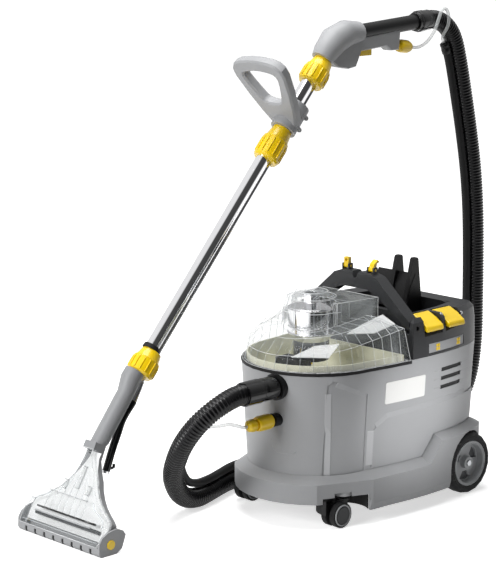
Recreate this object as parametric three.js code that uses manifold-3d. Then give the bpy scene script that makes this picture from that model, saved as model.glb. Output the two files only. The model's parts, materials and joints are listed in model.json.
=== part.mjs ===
// Spot extractor: a wheeled spray-extraction machine with its hose, suction wand and floor nozzle.
// Millimetres, +Z up. Machine frame: +X to the rear, -Y the near long side, Z = 0 on the floor.
// At the end the whole outfit is moved so that its origin is the bottom centre of its box, cords apart.
import * as THREE from 'three';
import { mergeVertices } from 'three/addons/utils/BufferGeometryUtils.js';
import Module from 'manifold-3d';

// ---- driving dimensions -------------------------------------------------------------------
const GAP = 0.3; // air kept between seated pieces
const WALL = 4; // moulded housing wall

// body plan: a half-round nose, bulged sides and a flat back
const NOSE_X = -93; // centre of the half-round nose
const NOSE_R = 144;
const SIDE_PLAN = [[-93, 144], [-40, 151], [20, 156], [80, 157], [140, 153], [195, 143], [232, 128]];
const BACK_X = 250;
const BACK_HALF = 108;
const DRAFT = 13; // how far the foot of the housing draws in
const HOUSING_FOOT = 75;
const REAR_FOOT = 134; // foot of the housing over the rear wheels
const SEAM = 303; // top edge of the housing under the panel
const LID_SEAM = 296; // its top edge round the tank
const STEP_X = 14; // where the edge steps down
const BULKHEAD_X = 10; // wall between the tank bay and the motor bay
const TANK_BAY_FLOOR = 98;
const MOTOR_BAY_FLOOR = 140;
const FIELD_X = -78; // front edge of the raised side field
const FIELD_OUT = 2.4;
const SHOULDER_STEP = 2.2; // the nose lies this far inside the side wall

// chassis
const SKIRT_OUT = 13; // how far the skirt stands out from the seam outline
const SKIRT_FOOT = 27;
const NOSE_FOOT = 49; // the skirt's raised foot round the nose
const NOSE_FOOT_X = -100;
const LEDGE_FRONT = 88;
const LEDGE_REAR = 130;
const RAMP_START_X = 57;
const RAMP_END_X = 91;
const LEDGE_RISE = 14;
const CHASSIS_FLOOR = 6.5;
const SKIRT_WALL = 4;

// rear wheels
const WHEEL_R = 62;
const WHEEL_X = 190;
const WHEEL_OUT = 160; // outer face of the tyre
const WHEEL_W = 34;
const RIM_R = 45;
const AXLE_R = 6;
const ARCH_GAP = 5;
const ARCH_WALL_Y = 119;
const ARCH_WALL = 6;

// casters
const CASTER_X = NOSE_X - 47;
const CASTER_Y = NOSE_R - 24;
const CASTER_TRAIL = 17;
const CASTER_R = 25;
const CASTER_W = 12; // one of the two discs
const CASTER_PIN_R = 4;
const FORK_T = 8;
const STEM_R = 6;

// tank lid
const SEAL_H = 6;
const SEAL_W = 9;
const LID_WALL = 3;
const LID_SHOULDER = [328.5, 367]; // height of the lid's edge at the nose and at the bulkhead
const LID_DECK = [352, 390];
const SHOULDER_IN = 10;
const DECK_IN = 38;
const DOME_X = -105;
const DOME_R = 60;
const DOME_TOP = 434;
const DUCT_TOP = 416;
const DUCT_HALF = [61, 74]; // half widths at the dome and at the bulkhead

// inner tank and air path
const TANK_T = 2.5;
const TANK_CLEAR = 2;
const TANK_FOOT = TANK_BAY_FLOOR + GAP;
const TANK_RIM = 314;
const CHAMBER_R = 45;
const CHAMBER_FOOT = 352;
const CHAMBER_TOP = 404;
const BASKET_FOOT = 300;
const FLOAT_STEM_R = 3;
const FLOAT_R = 22;
const FLOAT_FOOT = BASKET_FOOT + 3.6;

// control panel
const PANEL_TOP = 381;
const PANEL_DECK = 352;
const PANEL_FRONT_X = 17;
const WELL_IN = 52; // how far the rear well lies inside the panel outline
const SWITCHES = { vacuum_switch: 76, pump_switch: 140 }; // X of each rocker's middle
const SWITCH_L = 48;
const SWITCH_HALF = 27; // half of its width, up the slope
const SWITCH_CLEAR = 3;
const SWITCH_TURN = 7; // degrees each way from level; the rockers rest tipped to the off side
const TRAY_LOW = [-157, 343]; // Y, Z of the slope that the rockers sit on
const TRAY_HIGH = [-110, 377];

// carry handle: an arch over the lid
const HANDLE_X = 31;
const HANDLE_HALF = SIDE_PLAN[2][1] - 15; // the arms stand inside the panel's sides
const HANDLE_ARM = 20;
const HANDLE_PIVOT_Z = 362;
const HANDLE_TOP = 455;
const HANDLE_BAR = 32;
const HANDLE_DEPTH = 28;
const HANDLE_FOOT_R = 9;
const HANDLE_PIN_R = 4;
const HOOK_Y = 33;
const HOOK_W = 12;
const HOOK_PIN_R = 2.5;

// indicator strip on the panel's near side
const STRIP_X = [62, 178];
const STRIP_Z = [308, 327];
const STRIP_T = 2;

// rear tool holder
const HOLDER_X = 156;
const HOLDER_TOP = 466;
const HOLDER_SPAN = [-27, 73];
const HOLDER_PRONGS = [-21, 21];

// ports on the nose
const PORT_Y = -30;
const PORT_Z = 271;
const PORT_R = 24;
const PORT_BORE_R = 20.5;
const COUPLING_Z = 207;
const CUFF_END = 318; // distance of the cuff's outer end in front of the machine's middle

// suction hose
const HOSE_R = 20;
const HOSE_BORE_R = 15;
const HOSE_RIBS = 56;
const SHEATH_R = 8;
const SHEATH_CLEAR = 2;
const CLEAR_TUBE_R = 3.5;
const RIB_DEPTH = 2;
const CUFF_GRIP = 38; // how far the hose goes into each cuff
const LOOP_MIDDLE = [100, 182, 450]; // the sheath keeps to this side of the hose
const SHEATH_SPAN = [0.085, 0.945]; // along the hose
const HOSE_ROUTE = [
  [-280, -30, 271], [-300, -30, 271], [-320, -30, 271], [-336.4, -29.4, 269.9], [-361.9, -25.9, 261.9],
  [-385.3, -16.8, 247], [-402.3, -3.2, 227.4], [-411.3, 13.1, 204.8], [-413, 34.5, 175.9], [-404, 62, 139],
  [-384, 92, 103], [-357, 116, 71], [-327, 134, 43.5], [-297, 145, 27], [-266, 151, 21], [-232, 161, 21],
  [-190, 176, 21], [-146, 189, 21], [-63.1, 197, 21], [36.2, 197.6, 21], [144.5, 197.2, 21],
    [252.9, 196.3, 21],
  [356.7, 192.3, 21], [449.1, 187.4, 21.5], [498, 185.3, 29.3], [535.7, 184.3, 44], [560.3, 183.6, 63.7],
  [583.8, 183.1, 96.7], [597, 182.6, 132.6], [605.5, 181.9, 197.5], [606, 182, 287.7], [604.2, 182, 393.8],
  [599.4, 182, 493], [589.1, 182, 580.4], [572, 182, 666.7], [552, 182, 750], [533, 182, 822],
  [518.2, 182, 865.4], [505.1, 182, 886.8], [486.3, 182, 903.5], [463.4, 182, 913.9], [438, 182, 917.2],
  [418, 182, 915.8], [398, 182, 914.5],
];
const TUBE_MACHINE = [
  [-307.4, -30, 207], [-316, -30, 207], [-326, -26, 211], [-338, -14, 214], [-352, 2, 210],
];
const TUBE_GRIP = [
  [378.2, 182, 861.8], [386, 182, 860.8], [399, 178, 861], [413, 169, 871], [424, 158, 893],
  [432, 153, 918], [441, 152, 937], [454, 152, 940], [464, 153, 927], [469, 157, 907], [471, 167, 891],
];

// wand, in its upright plane
const WAND_Y = 182;
const WAND_FOOT = [-360, 327]; // X, Z of the lower collar's top
const WAND_ANGLE = 48.4; // degrees above the floor
const TUBE_R = 13.5;
const TUBE_T = 1.2;
const SPRAY_R = 5;
const SPRAY_OFF = 20.5; // from tube axis to spray-tube axis
const PIPE_R = 7;
const PIPE_ROUTE = [[-380.5, 270.5], [-388, 256], [-404, 234], [-431, 204], [-445, 176], [-458, 149],
  [-476, 106]]; // X, Z
const COLLAR_R = 27;
const COLLAR_OFF = 6;
const LOWER_COLLAR = [-52, 0];
const MIDDLE_COLLAR = [456, 530];
const BOSS = [531, 592];
const UPPER_COLLAR = [645, 704];
const GRIP_R = 16;
const GRIP_START = [214, 902];
const GRIP_END = [388, 913.8];
const GRIP_CUFF = 42;
const GRIP_COUPLING = [334, 868];
const UNDER_GRIP = [[132, 848], [143, 838], [175, 832], [196, 835], [212, 866], [255, 869], [290, 872],
  [304, 862], [326, 862],
  [330, 900], [150, 885]]; // X, Z outline of the housing under the grip
const TRIGGER = [216, 250, 853]; // X from, X to, lowest Z
const TRIGGER_H = 20;
const TRIGGER_TRAVEL = 4;

// second handle on the wand
const LOOP_T = 22;
const LOOP_LEAN = 77; // degrees between the loop and the tube
const LUG = 17; // how far the clamp's screw lugs reach
const SPLIT_X = 10; // plane between the boss and its clamp, below the tube axis

// floor nozzle
const NOZZLE_W = 240;
const NOZZLE_X = -577;
const NOZZLE_Y = 168; // the neck bends a little aside to reach it
const NOZZLE_LEAN = 31; // degrees of the fan from upright
const FAN_LENGTH = 152;
const FAN_BACK_T = 14;
const FAN_BACK_FOOT = -22; // the plate ends above the suction slot, the cover goes on below it
const RIM_T = 14;
const COVER_T = 2.2;
const SHOE_H = 40; // height of the fan's own origin
const END_PLATE_T = 4.3;
const BUTTON_IN = 3; // how far the end buttons stand in the shoe's ends
const END_BUTTON_R = 9;
const FAN_FOOT = -33; // along the fan's slope, below the shoe's middle
const FAN_HALF = [[-33, 112], [-24, 114.4], [6, 114.4], [18, 112], [26, 101], [34, 87], [44, 72],
  [56, 58], [72, 44],
  [88, 34], [104, 25], [124, 16.5], [152, 15]]; // height up the slope, half width
const FAN_SKEW = [0.3, 88, 13]; // sideways drift up the slope, where it starts, and its end

// ---- materials ----------------------------------------------------------------------------
const finish = (color, roughness, metalness = 0, extra = {}) =>
  new THREE.MeshStandardMaterial({ color, roughness, metalness, ...extra });
const GREY = finish(0x8d8e90, 0.55);
const DARK_GREY = finish(0x6a6b6d, 0.55);
const CHARCOAL = finish(0x333437, 0.5);
const BLACK = finish(0x151516, 0.45);
const YELLOW = finish(0xffe000, 0.4);
const CLEAR = finish(0xe8ecee, 0.08, 0, { transparent: true, opacity: 0.3 });
const CREAM = finish(0xd9d9bd, 0.5);
const CHROME = finish(0xdddddd, 0.12, 1);
const STEEL = finish(0x9a9a9a, 0.35, 1);
const RUBBER = finish(0x222222, 0.8);

// ---- solids -------------------------------------------------------------------------------
const wasm = await Module();
wasm.setup();

function solid(geometry) {
  const bare = geometry.clone();
  for (const name of Object.keys(bare.attributes)) if (name !== 'position') bare.deleteAttribute(name);
  const merged = mergeVertices(bare, 1e-4);
  const triVerts = new Uint32Array(merged.index.array);
  return new wasm.Manifold(new wasm.Mesh({
    numProp: 3,
    vertProperties: new Float32Array(merged.attributes.position.array),
    triVerts,
  }));
}

function geometryOf(manifold) {
  const mesh = manifold.getMesh();
  const geometry = new THREE.BufferGeometry();
  geometry.setAttribute('position', new THREE.BufferAttribute(new Float32Array(mesh.vertProperties), 3));
  geometry.setIndex(new THREE.BufferAttribute(new Uint32Array(mesh.triVerts), 1));
  return geometry;
}

const asSolid = (shape) => (shape.isBufferGeometry ? solid(shape) : shape);
const join = (...shapes) => shapes.map(asSolid).reduce((all, next) => all.add(next));
const cut = (shape, ...tools) => tools.map(asSolid).reduce((left, tool) => left.subtract(tool),
  asSolid(shape));
const common = (a, b) => asSolid(a).intersect(asSolid(b));

function moved(geometry, x = 0, y = 0, z = 0) {
  return geometry.clone().translate(x, y, z);
}

// box by its lowest and highest corners
function block(x0, y0, z0, x1, y1, z1) {
  const box = new THREE.BoxGeometry(x1 - x0, y1 - y0, z1 - z0);
  return box.translate((x0 + x1) / 2, (y0 + y1) / 2, (z0 + z1) / 2);
}

// cylinder between two points along one axis
function rod(axis, radius, from, to, u = 0, v = 0, sides = 20) {
  const bar = new THREE.CylinderGeometry(radius, radius, to - from, sides);
  bar.translate(0, (from + to) / 2, 0);
  if (axis === 'x') return bar.rotateZ(-Math.PI / 2).translate(0, u, v);
  if (axis === 'y') return bar.translate(u, 0, v);
  return bar.rotateX(Math.PI / 2).translate(u, v, 0);
}

// solid of revolution about Z from [radius, z] points that start and end on the axis
function revolve(points, sides = 20) {
  return new THREE.LatheGeometry(points.map(([r, z]) => new THREE.Vector2(r, z)),
    sides).rotateX(Math.PI / 2);
}

// closed ring of revolution: the profile closes on itself
function ringOf(points, sides = 20) {
  return revolve([...points, points[0]], sides);
}

// prism of an [x, z] outline between two values of Y
function prismXZ(points, y0, y1) {
  const shape = new THREE.Shape(points.map(([x, z]) => new THREE.Vector2(x, z)));
  const prism = new THREE.ExtrudeGeometry(shape, { depth: y1 - y0, bevelEnabled: false });
  return prism.rotateX(Math.PI / 2).translate(0, y1, 0);
}

// prism of a [y, z] outline between two values of X
function prismYZ(points, x0, x1, holes = []) {
  const shape = new THREE.Shape(points.map(([y, z]) => new THREE.Vector2(y, z)));
  for (const hole of holes) shape.holes.push(new THREE.Path(hole.map(([y, z]) => new THREE.Vector2(y, z))));
  const prism = new THREE.ExtrudeGeometry(shape, { depth: x1 - x0, bevelEnabled: false });
  return prism.rotateX(Math.PI / 2).rotateZ(Math.PI / 2).translate(x0, 0, 0);
}

// solid through stacked closed rings of the same count of points, capped from their middles
function loft(rings) {
  const count = rings[0].length;
  const positions = rings.flat(2);
  const index = [];
  for (let k = 0; k + 1 < rings.length; k += 1) {
    for (let j = 0; j < count; j += 1) {
      const a = k * count + j;
      const b = k * count + ((j + 1) % count);
      index.push(a, b, b + count, a, b + count, a + count);
    }
  }
  const middle = (ring) => [0, 1, 2].map((axis) => ring.reduce((sum, point) => sum + point[axis],
    0) / count);
  positions.push(...middle(rings[0]), ...middle(rings.at(-1)));
  const low = rings.length * count;
  const top = low - count;
  for (let j = 0; j < count; j += 1) {
    const next = (j + 1) % count;
    index.push(low, next, j, low + 1, top + j, top + next);
  }
  const geometry = new THREE.BufferGeometry();
  geometry.setAttribute('position', new THREE.Float32BufferAttribute(positions, 3));
  geometry.setIndex(index);
  return geometry;
}

// tube through rings about a path: each station is {at, along, radius}
function sweep(stations, sides, up = new THREE.Vector3(0, 1, 0)) {
  const positions = [];
  const index = [];
  stations.forEach(({ at, along, radius }) => {
    const side = new THREE.Vector3().crossVectors(up, along).normalize();
    const over = new THREE.Vector3().crossVectors(along, side).normalize();
    for (let j = 0; j < sides; j += 1) {
      const turn = (j / sides) * 2 * Math.PI;
      const point = at.clone().addScaledVector(side, radius * Math.cos(turn));
      point.addScaledVector(over, radius * Math.sin(turn));
      positions.push(point.x, point.y, point.z);
    }
  });
  const rings = stations.length;
  for (let k = 0; k + 1 < rings; k += 1) {
    for (let j = 0; j < sides; j += 1) {
      const a = k * sides + j;
      const b = k * sides + ((j + 1) % sides);
      index.push(a, b, b + sides, a, b + sides, a + sides);
    }
  }
  for (let j = 1; j + 1 < sides; j += 1) {
    index.push(0, j + 1, j);
    index.push((rings - 1) * sides, (rings - 1) * sides + j, (rings - 1) * sides + j + 1);
  }
  const geometry = new THREE.BufferGeometry();
  geometry.setAttribute('position', new THREE.Float32BufferAttribute(positions, 3));
  geometry.setIndex(index);
  return geometry;
}

function mesh(name, shape, material) {
  const piece = new THREE.Mesh(shape.isBufferGeometry ? shape : geometryOf(shape), material);
  piece.name = name;
  return piece;
}

// ---- body plan ----------------------------------------------------------------------------
// outline at the seam, counter-clockwise from above, starting at the rear of the far side
function bodyPlan() {
  const side = new THREE.SplineCurve(SIDE_PLAN.map(([x, y]) => new THREE.Vector2(x, y)));
  const sideSteps = 7;
  const far = side.getPoints(sideSteps).map((p) => [p.x, p.y]).reverse();
  const marks = [RAMP_START_X, RAMP_END_X, BULKHEAD_X + 2, PANEL_FRONT_X];
  for (const x of marks) {
    const k = far.findIndex((p) => p[0] < x);
    const [a, b] = [far[k - 1], far[k]];
    if (Math.min(Math.abs(a[0] - x), Math.abs(b[0] - x)) < 1) continue;
    far.splice(k, 0, [x, a[1] + ((b[1] - a[1]) * (x - a[0])) / (b[0] - a[0])]);
  }
  const nose = [];
  const noseSteps = 16;
  for (let k = 1; k < noseSteps; k += 1) {
    const turn = Math.PI / 2 + (Math.PI * k) / noseSteps;
    nose.push([NOSE_X + NOSE_R * Math.cos(turn), NOSE_R * Math.sin(turn)]);
  }
  const near = far.map(([x, y]) => [x, -y]).reverse();
  return [[BACK_X, BACK_HALF], [BACK_X - 6, BACK_HALF + 11], ...far, ...nose, ...near,
    [BACK_X - 6, -BACK_HALF - 11], [BACK_X, -BACK_HALF]];
}
const PLAN = bodyPlan();

// outline moved outwards (or inwards, below zero) by a distance
function grown(outline, distance) {
  const count = outline.length;
  return outline.map(([x, y], k) => {
    const before = outline[(k + count - 1) % count];
    const after = outline[(k + 1) % count];
    const into = new THREE.Vector2(x - before[0], y - before[1]).normalize();
    const out = new THREE.Vector2(after[0] - x, after[1] - y).normalize();
    const normal = new THREE.Vector2(into.y + out.y, -into.x - out.x).normalize();
    const reach = distance / Math.max(0.35, normal.dot(new THREE.Vector2(into.y, -into.x)));
    return [x + normal.x * reach, y + normal.y * reach];
  });
}

const level = (outline, z) => outline.map(([x, y]) => [x, y, typeof z === 'function' ? z(x) : z]);
const draftAt = (z) => (-DRAFT * (SEAM - z)) / (SEAM - HOUSING_FOOT);
const bodyRing = (out, z) => level(grown(PLAN, out + draftAt(z)), z);

// part of the plan in front of the bulkhead, and the part behind it
const FRONT_PLAN = PLAN.filter(([x]) => x < BULKHEAD_X + 3 && (x < -20 || x > BULKHEAD_X));
const REAR_PLAN = [
  ...PLAN.filter(([x, y]) => x > PANEL_FRONT_X - 1 && y > 0),
  ...PLAN.filter(([x, y]) => x > PANEL_FRONT_X - 1 && y < 0),
];

// ---- housing ------------------------------------------------------------------------------
function housingEnvelope(out, foot, rearFoot) {
  const body = loft([bodyRing(out, foot), bodyRing(out, SEAM + (out > 0 ? 60 : 0))]);
  const wheelRoom = block(RAMP_END_X + 8 + out, -400, foot - 10, 400, 400, rearFoot);
  return cut(body, wheelRoom);
}

function mainHousing() {
  let body = housingEnvelope(0, HOUSING_FOOT, REAR_FOOT);
  const inner = loft([bodyRing(-WALL, TANK_BAY_FLOOR), bodyRing(-WALL, SEAM + 20)]);
  const tankBay = common(inner, block(-400, -300, 0, BULKHEAD_X - WALL, 300, 400));
  const motorBay = common(inner, block(BULKHEAD_X, -300, MOTOR_BAY_FLOOR, 400, 300, 400));
  body = cut(body, tankBay, motorBay, block(-400, -300, LID_SEAM, STEP_X, 300, 500));
  // raised side fields above the ledge
  const ledgeTop = LEDGE_RISE + 2;
  const field = [[FIELD_X, LEDGE_FRONT + ledgeTop], [FIELD_X, 178], [FIELD_X + 33.5, 198], [190, 205],
    [240, 205],
    [240, LEDGE_REAR + ledgeTop], [RAMP_END_X, LEDGE_REAR + ledgeTop],
      [RAMP_START_X, LEDGE_FRONT + ledgeTop]];
  const skinAt = (out) => loft([bodyRing(out, 30), bodyRing(out, 400)]);
  body = join(body, cut(common(prismXZ(field, -300, 300), skinAt(FIELD_OUT)), skinAt(-1)));
  // rounded shoulder beside the nose
    const shoulder = [[-178, 60], [-178, 278], [-168, 286], [-95, 252], [-95, 60]];
  body = cut(body, cut(prismXZ(shoulder, -300, 300), skinAt(-SHOULDER_STEP)));
  // ventilation slots on both sides
  for (const z of [229, 247, 265]) body = cut(body, block(103, -300, z, 171, 300, z + 8));
  const portBore = rod('x', PORT_R + GAP, -400, -150, PORT_Y, PORT_Z);
  const couplingBore = rod('x', 11 + GAP, -400, -150, PORT_Y, COUPLING_Z, 16);
  return mesh('main_housing', cut(body, portBore, couplingBore), GREY);
}

// ---- chassis ------------------------------------------------------------------------------
function ledgeAt(x) {
  const t = THREE.MathUtils.clamp((x - RAMP_START_X) / (RAMP_END_X - RAMP_START_X), 0, 1);
  return THREE.MathUtils.lerp(LEDGE_FRONT, LEDGE_REAR, t);
}

// the skirt turns a corner at each side of the nose and runs straight to the body's side
function skirtPlan() {
  const [cornerX, cornerY] = PLAN.find(([x, y]) => y < 0 && x > NOSE_X - NOSE_R * 0.72);
  const endY = SIDE_PLAN[0][1] + 3;
  return PLAN.map(([x, y]) => {
    if (x <= cornerX || x > NOSE_X + 1) return [x, y];
    const straight = THREE.MathUtils.mapLinear(x, cornerX, NOSE_X, -cornerY, endY);
    return [x, Math.sign(y) * straight];
  });
}

function chassis() {
  const ledge = (rise) => PLAN.map(([x]) => ledgeAt(x) + rise);
  const ringAt = (out, heights) => grown(out > 0 ? skirtPlan() : PLAN,
    out).map(([x, y], k) => [x, y, heights[k]]);
  const foot = PLAN.map(() => SKIRT_FOOT);
  const low = PLAN.map(() => SKIRT_FOOT + 14);
  let body = asSolid(loft([
    ringAt(SKIRT_OUT - 4, foot), ringAt(SKIRT_OUT, low), ringAt(SKIRT_OUT, ledge(0)),
    ringAt(-DRAFT - 1, ledge(LEDGE_RISE)),
  ]));
  body = cut(body, housingEnvelope(GAP, HOUSING_FOOT - GAP, REAR_FOOT - GAP));
  // hollow underside, in front and between the wheel arches
  const ceiling = HOUSING_FOOT - GAP - CHASSIS_FLOOR;
  const inside = (top) => loft([level(grown(PLAN, SKIRT_OUT - 4 - SKIRT_WALL), 0),
    level(grown(PLAN, SKIRT_OUT - 4 - SKIRT_WALL), top)]);
  const frontHollow = common(inside(ceiling), block(-400, -300, 0, WHEEL_X - WHEEL_R - 20, 300, 200));
  const halfRear = ARCH_WALL_Y - ARCH_WALL;
  const rearHollow = common(inside(REAR_FOOT - GAP - CHASSIS_FLOOR),
    block(WHEEL_X - WHEEL_R - 26, -halfRear, 0, 400, halfRear, 200));
  const stems = [-1, 1].map((side) => rod('z', 18, 40, 100, CASTER_X, side * CASTER_Y));
  body = cut(body, cut(frontHollow, ...stems), rearHollow);
  for (const side of [-1, 1]) {
    const arch = rod('y', WHEEL_R + ARCH_GAP, -200, 200, WHEEL_X, WHEEL_R, 24);
    const room = block(0, side > 0 ? ARCH_WALL_Y : -300, -10, 400, side > 0 ? 300 : -ARCH_WALL_Y, 400);
    body = cut(body, common(arch, room));
    const below = block(WHEEL_X - WHEEL_R - ARCH_GAP, side > 0 ? ARCH_WALL_Y : -300, 0,
      WHEEL_X + WHEEL_R + ARCH_GAP, side > 0 ? 300 : -ARCH_WALL_Y, WHEEL_R);
    body = cut(body, below);
    const swing = CASTER_TRAIL + CASTER_R + 10;
    body = cut(body, rod('z', swing, 0, 2 * CASTER_R + 10, CASTER_X, side * CASTER_Y, 20));
    body = cut(body, rod('z', STEM_R + GAP, 0, HOUSING_FOOT, CASTER_X, side * CASTER_Y, 16));
  }
  const nosePan = loft([level(grown(PLAN, -12), SKIRT_FOOT + 8), level(grown(PLAN, -12), 200)]);
  body = cut(body, cut(block(-400, -300, 0, NOSE_FOOT_X, 300, NOSE_FOOT), nosePan));
  body = cut(body, rod('y', AXLE_R + GAP, -200, 200, WHEEL_X, WHEEL_R, 16));
  return mesh('chassis', body, DARK_GREY);
}

// ---- wheels -------------------------------------------------------------------------------
function rearWheels(group) {
  const outer = WHEEL_OUT;
  const inner = WHEEL_OUT - WHEEL_W;
  group.add(mesh('rear_axle', rod('y', AXLE_R, 2 - outer, outer - 2, WHEEL_X, WHEEL_R, 16), STEEL));
  for (const [side, name] of [[-1, 'near'], [1, 'far']]) {
    const tyre = ringOf([[RIM_R + 1, -WHEEL_W / 2], [WHEEL_R - 4, -WHEEL_W / 2],
      [WHEEL_R, -WHEEL_W / 2 + 5],
      [WHEEL_R, WHEEL_W / 2 - 5], [WHEEL_R - 4, WHEEL_W / 2], [RIM_R + 1, WHEEL_W / 2]], 18);
    const place = (shape) => moved(shape.rotateX(side * Math.PI / 2), WHEEL_X,
      side * (inner + outer) / 2, WHEEL_R);
    group.add(mesh(`rear_tyre_${name}`, place(tyre), RUBBER));
    const half = WHEEL_W / 2;
    const hub = ringOf([[AXLE_R + GAP, -half + 4], [13, -half + 4], [13, -2], [RIM_R - 6, -2],
      [RIM_R - 4, -half + 1],
      [RIM_R + 1 - GAP, -half + 1], [RIM_R + 1 - GAP, half - 1], [RIM_R - 3, half - 1],
        [RIM_R - 6, half - 7],
      [14, half - 7], [12, half - 2], [AXLE_R + GAP, half - 2]], 18);
    let disc = asSolid(hub);
    for (let k = 0; k < 3; k += 1) {
      const lobe = new THREE.Shape();
      lobe.absarc(0, 0, RIM_R - 9, -0.42, 0.42, false);
      lobe.absarc(0, 0, 19, 0.3, -0.3, true);
      const window = new THREE.ExtrudeGeometry(lobe, { depth: 60, bevelEnabled: false, curveSegments: 2 });
      window.translate(0, 0, -30).rotateZ(Math.PI / 2 + (k * 2 * Math.PI) / 3);
      disc = cut(disc, window);
    }
    group.add(mesh(`rear_hub_${name}`, place(geometryOf(disc)), GREY));
  }
}

function casters(group) {
  for (const [side, name] of [[-1, 'near'], [1, 'far']]) {
    const y = side * CASTER_Y;
    const wheelX = CASTER_X - CASTER_TRAIL;
    const hoodZ = 2 * CASTER_R + 1.5;
    const web = [[wheelX - 8, CASTER_R - 8], [wheelX + 8, CASTER_R - 8], [CASTER_X + 10, CASTER_R + 14],
      [CASTER_X + 11, hoodZ], [wheelX - 10, hoodZ], [wheelX - 12, CASTER_R + 6]];
    let fork = join(prismXZ(web, y - FORK_T / 2, y + FORK_T / 2),
      rod('z', 14, hoodZ - 1, hoodZ + 3, CASTER_X, y),
        rod('z', STEM_R, hoodZ, HOUSING_FOOT - 1, CASTER_X, y, 16));
    fork = cut(fork, rod('y', CASTER_PIN_R + GAP, y - 30, y + 30, wheelX, CASTER_R, 16));
    group.add(mesh(`caster_fork_${name}`, fork, BLACK));
    const face = FORK_T / 2 + 1;
    const discAt = (from) => rod('y', CASTER_R, y + from, y + from + CASTER_W, wheelX, CASTER_R, 22);
    const pin = rod('y', CASTER_PIN_R, y - face - CASTER_W, y + face + CASTER_W, wheelX, CASTER_R, 16);
    let wheels = join(discAt(face), discAt(-face - CASTER_W), pin);
    const dish = ringOf([[9, 0], [18, 0], [18, 3], [9, 3]], 20);
    for (const turn of [-1, 1]) {
      const ring = dish.clone().rotateX(turn * Math.PI / 2);
      wheels = cut(wheels, moved(ring, wheelX, y - turn * (face + CASTER_W + 0.5), CASTER_R));
    }
    group.add(mesh(`caster_wheels_${name}`, wheels, RUBBER));
  }
}

// ---- tank, seal and lid -------------------------------------------------------------------
function lidRings(out) {
  const noseX = NOSE_X - NOSE_R;
  const slope = ([low, high]) => (x) => THREE.MathUtils.mapLinear(x, noseX, BULKHEAD_X, low, high);
  const foot = LID_SEAM + SEAL_H + 2 * GAP;
  const tall = (x) => slope(LID_SHOULDER)(x);
  return [
    level(grown(FRONT_PLAN, out - 1), foot + (out < 0 ? -10 : 0)),
    level(grown(FRONT_PLAN, out - SHOULDER_IN), (x) => tall(x) + out * 0.5),
    level(grown(FRONT_PLAN, out - SHOULDER_IN - 6), (x) => tall(x) + 4 + out * 0.8),
    level(grown(FRONT_PLAN, out - DECK_IN), (x) => slope(LID_DECK)(x) + out),
  ];
}

function towerShape(out, foot) {
  const top = DOME_TOP + out;
  const dome = revolve([[0, foot], [DOME_R + out, foot], [DOME_R - 4 + out, top - 34],
    [DOME_R - 12 + out, top - 10],
    [DOME_R - 28 + out, top], [0, top]], 22).translate(DOME_X, 0, 0);
  const back = BULKHEAD_X - 6 + out;
  const [narrow, wide] = [DUCT_HALF[0] + out, DUCT_HALF[1] + out];
  const outline = [[DOME_X + 8, -narrow], [back, -wide], [back, wide], [DOME_X + 8, narrow]];
  const duct = loft([level(outline, foot), level(outline, DUCT_TOP + out)]);
  return join(dome, duct);
}

function tankAndLid(group) {
  const ring = (from, to, low, high) => cut(
    loft([level(grown(FRONT_PLAN, to), low), level(grown(FRONT_PLAN, to), high)]),
    loft([level(grown(FRONT_PLAN, from), low - 5), level(grown(FRONT_PLAN, from), high + 5)]),
  );
  group.add(mesh('lid_seal', ring(-SEAL_W, 1.2, LID_SEAM + GAP, LID_SEAM + GAP + SEAL_H), BLACK));
  // tank: the bay's shape below the seam, and a narrower neck that stands up inside the seal
  const ahead = (shape, x) => common(shape, block(-400, -300, 0, x, 300, 500));
  const bayIn = -WALL - TANK_CLEAR;
  const back = BULKHEAD_X - WALL - TANK_CLEAR;
  const bay = (out, foot, top) => ahead(loft([bodyRing(bayIn + out, foot),
    bodyRing(bayIn + out, top)]), back + out);
  const neck = (out, foot, top) => {
    const outline = grown(PLAN, -SEAL_W - 1 + out);
    return ahead(loft([level(outline, foot), level(outline, top)]), back - 2 + out);
  };
  let tank = join(bay(0, TANK_FOOT, LID_SEAM - 2), neck(0, LID_SEAM - 8, TANK_RIM));
  tank = cut(tank, bay(-TANK_T, TANK_FOOT + TANK_T, LID_SEAM - 6),
    neck(-TANK_T, LID_SEAM - 20, TANK_RIM + 20));
  tank = cut(tank, rod('x', PORT_R + 1, -400, -150, PORT_Y, PORT_Z));
  group.add(mesh('dirty_water_tank', tank, CREAM));
  let lid = join(loft(lidRings(0)), towerShape(0, LID_DECK[0] - 10));
  lid = cut(lid, loft(lidRings(-LID_WALL)), towerShape(-LID_WALL, LID_DECK[0] - 30));
  group.add(mesh('tank_lid', lid, CLEAR));
}

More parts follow.
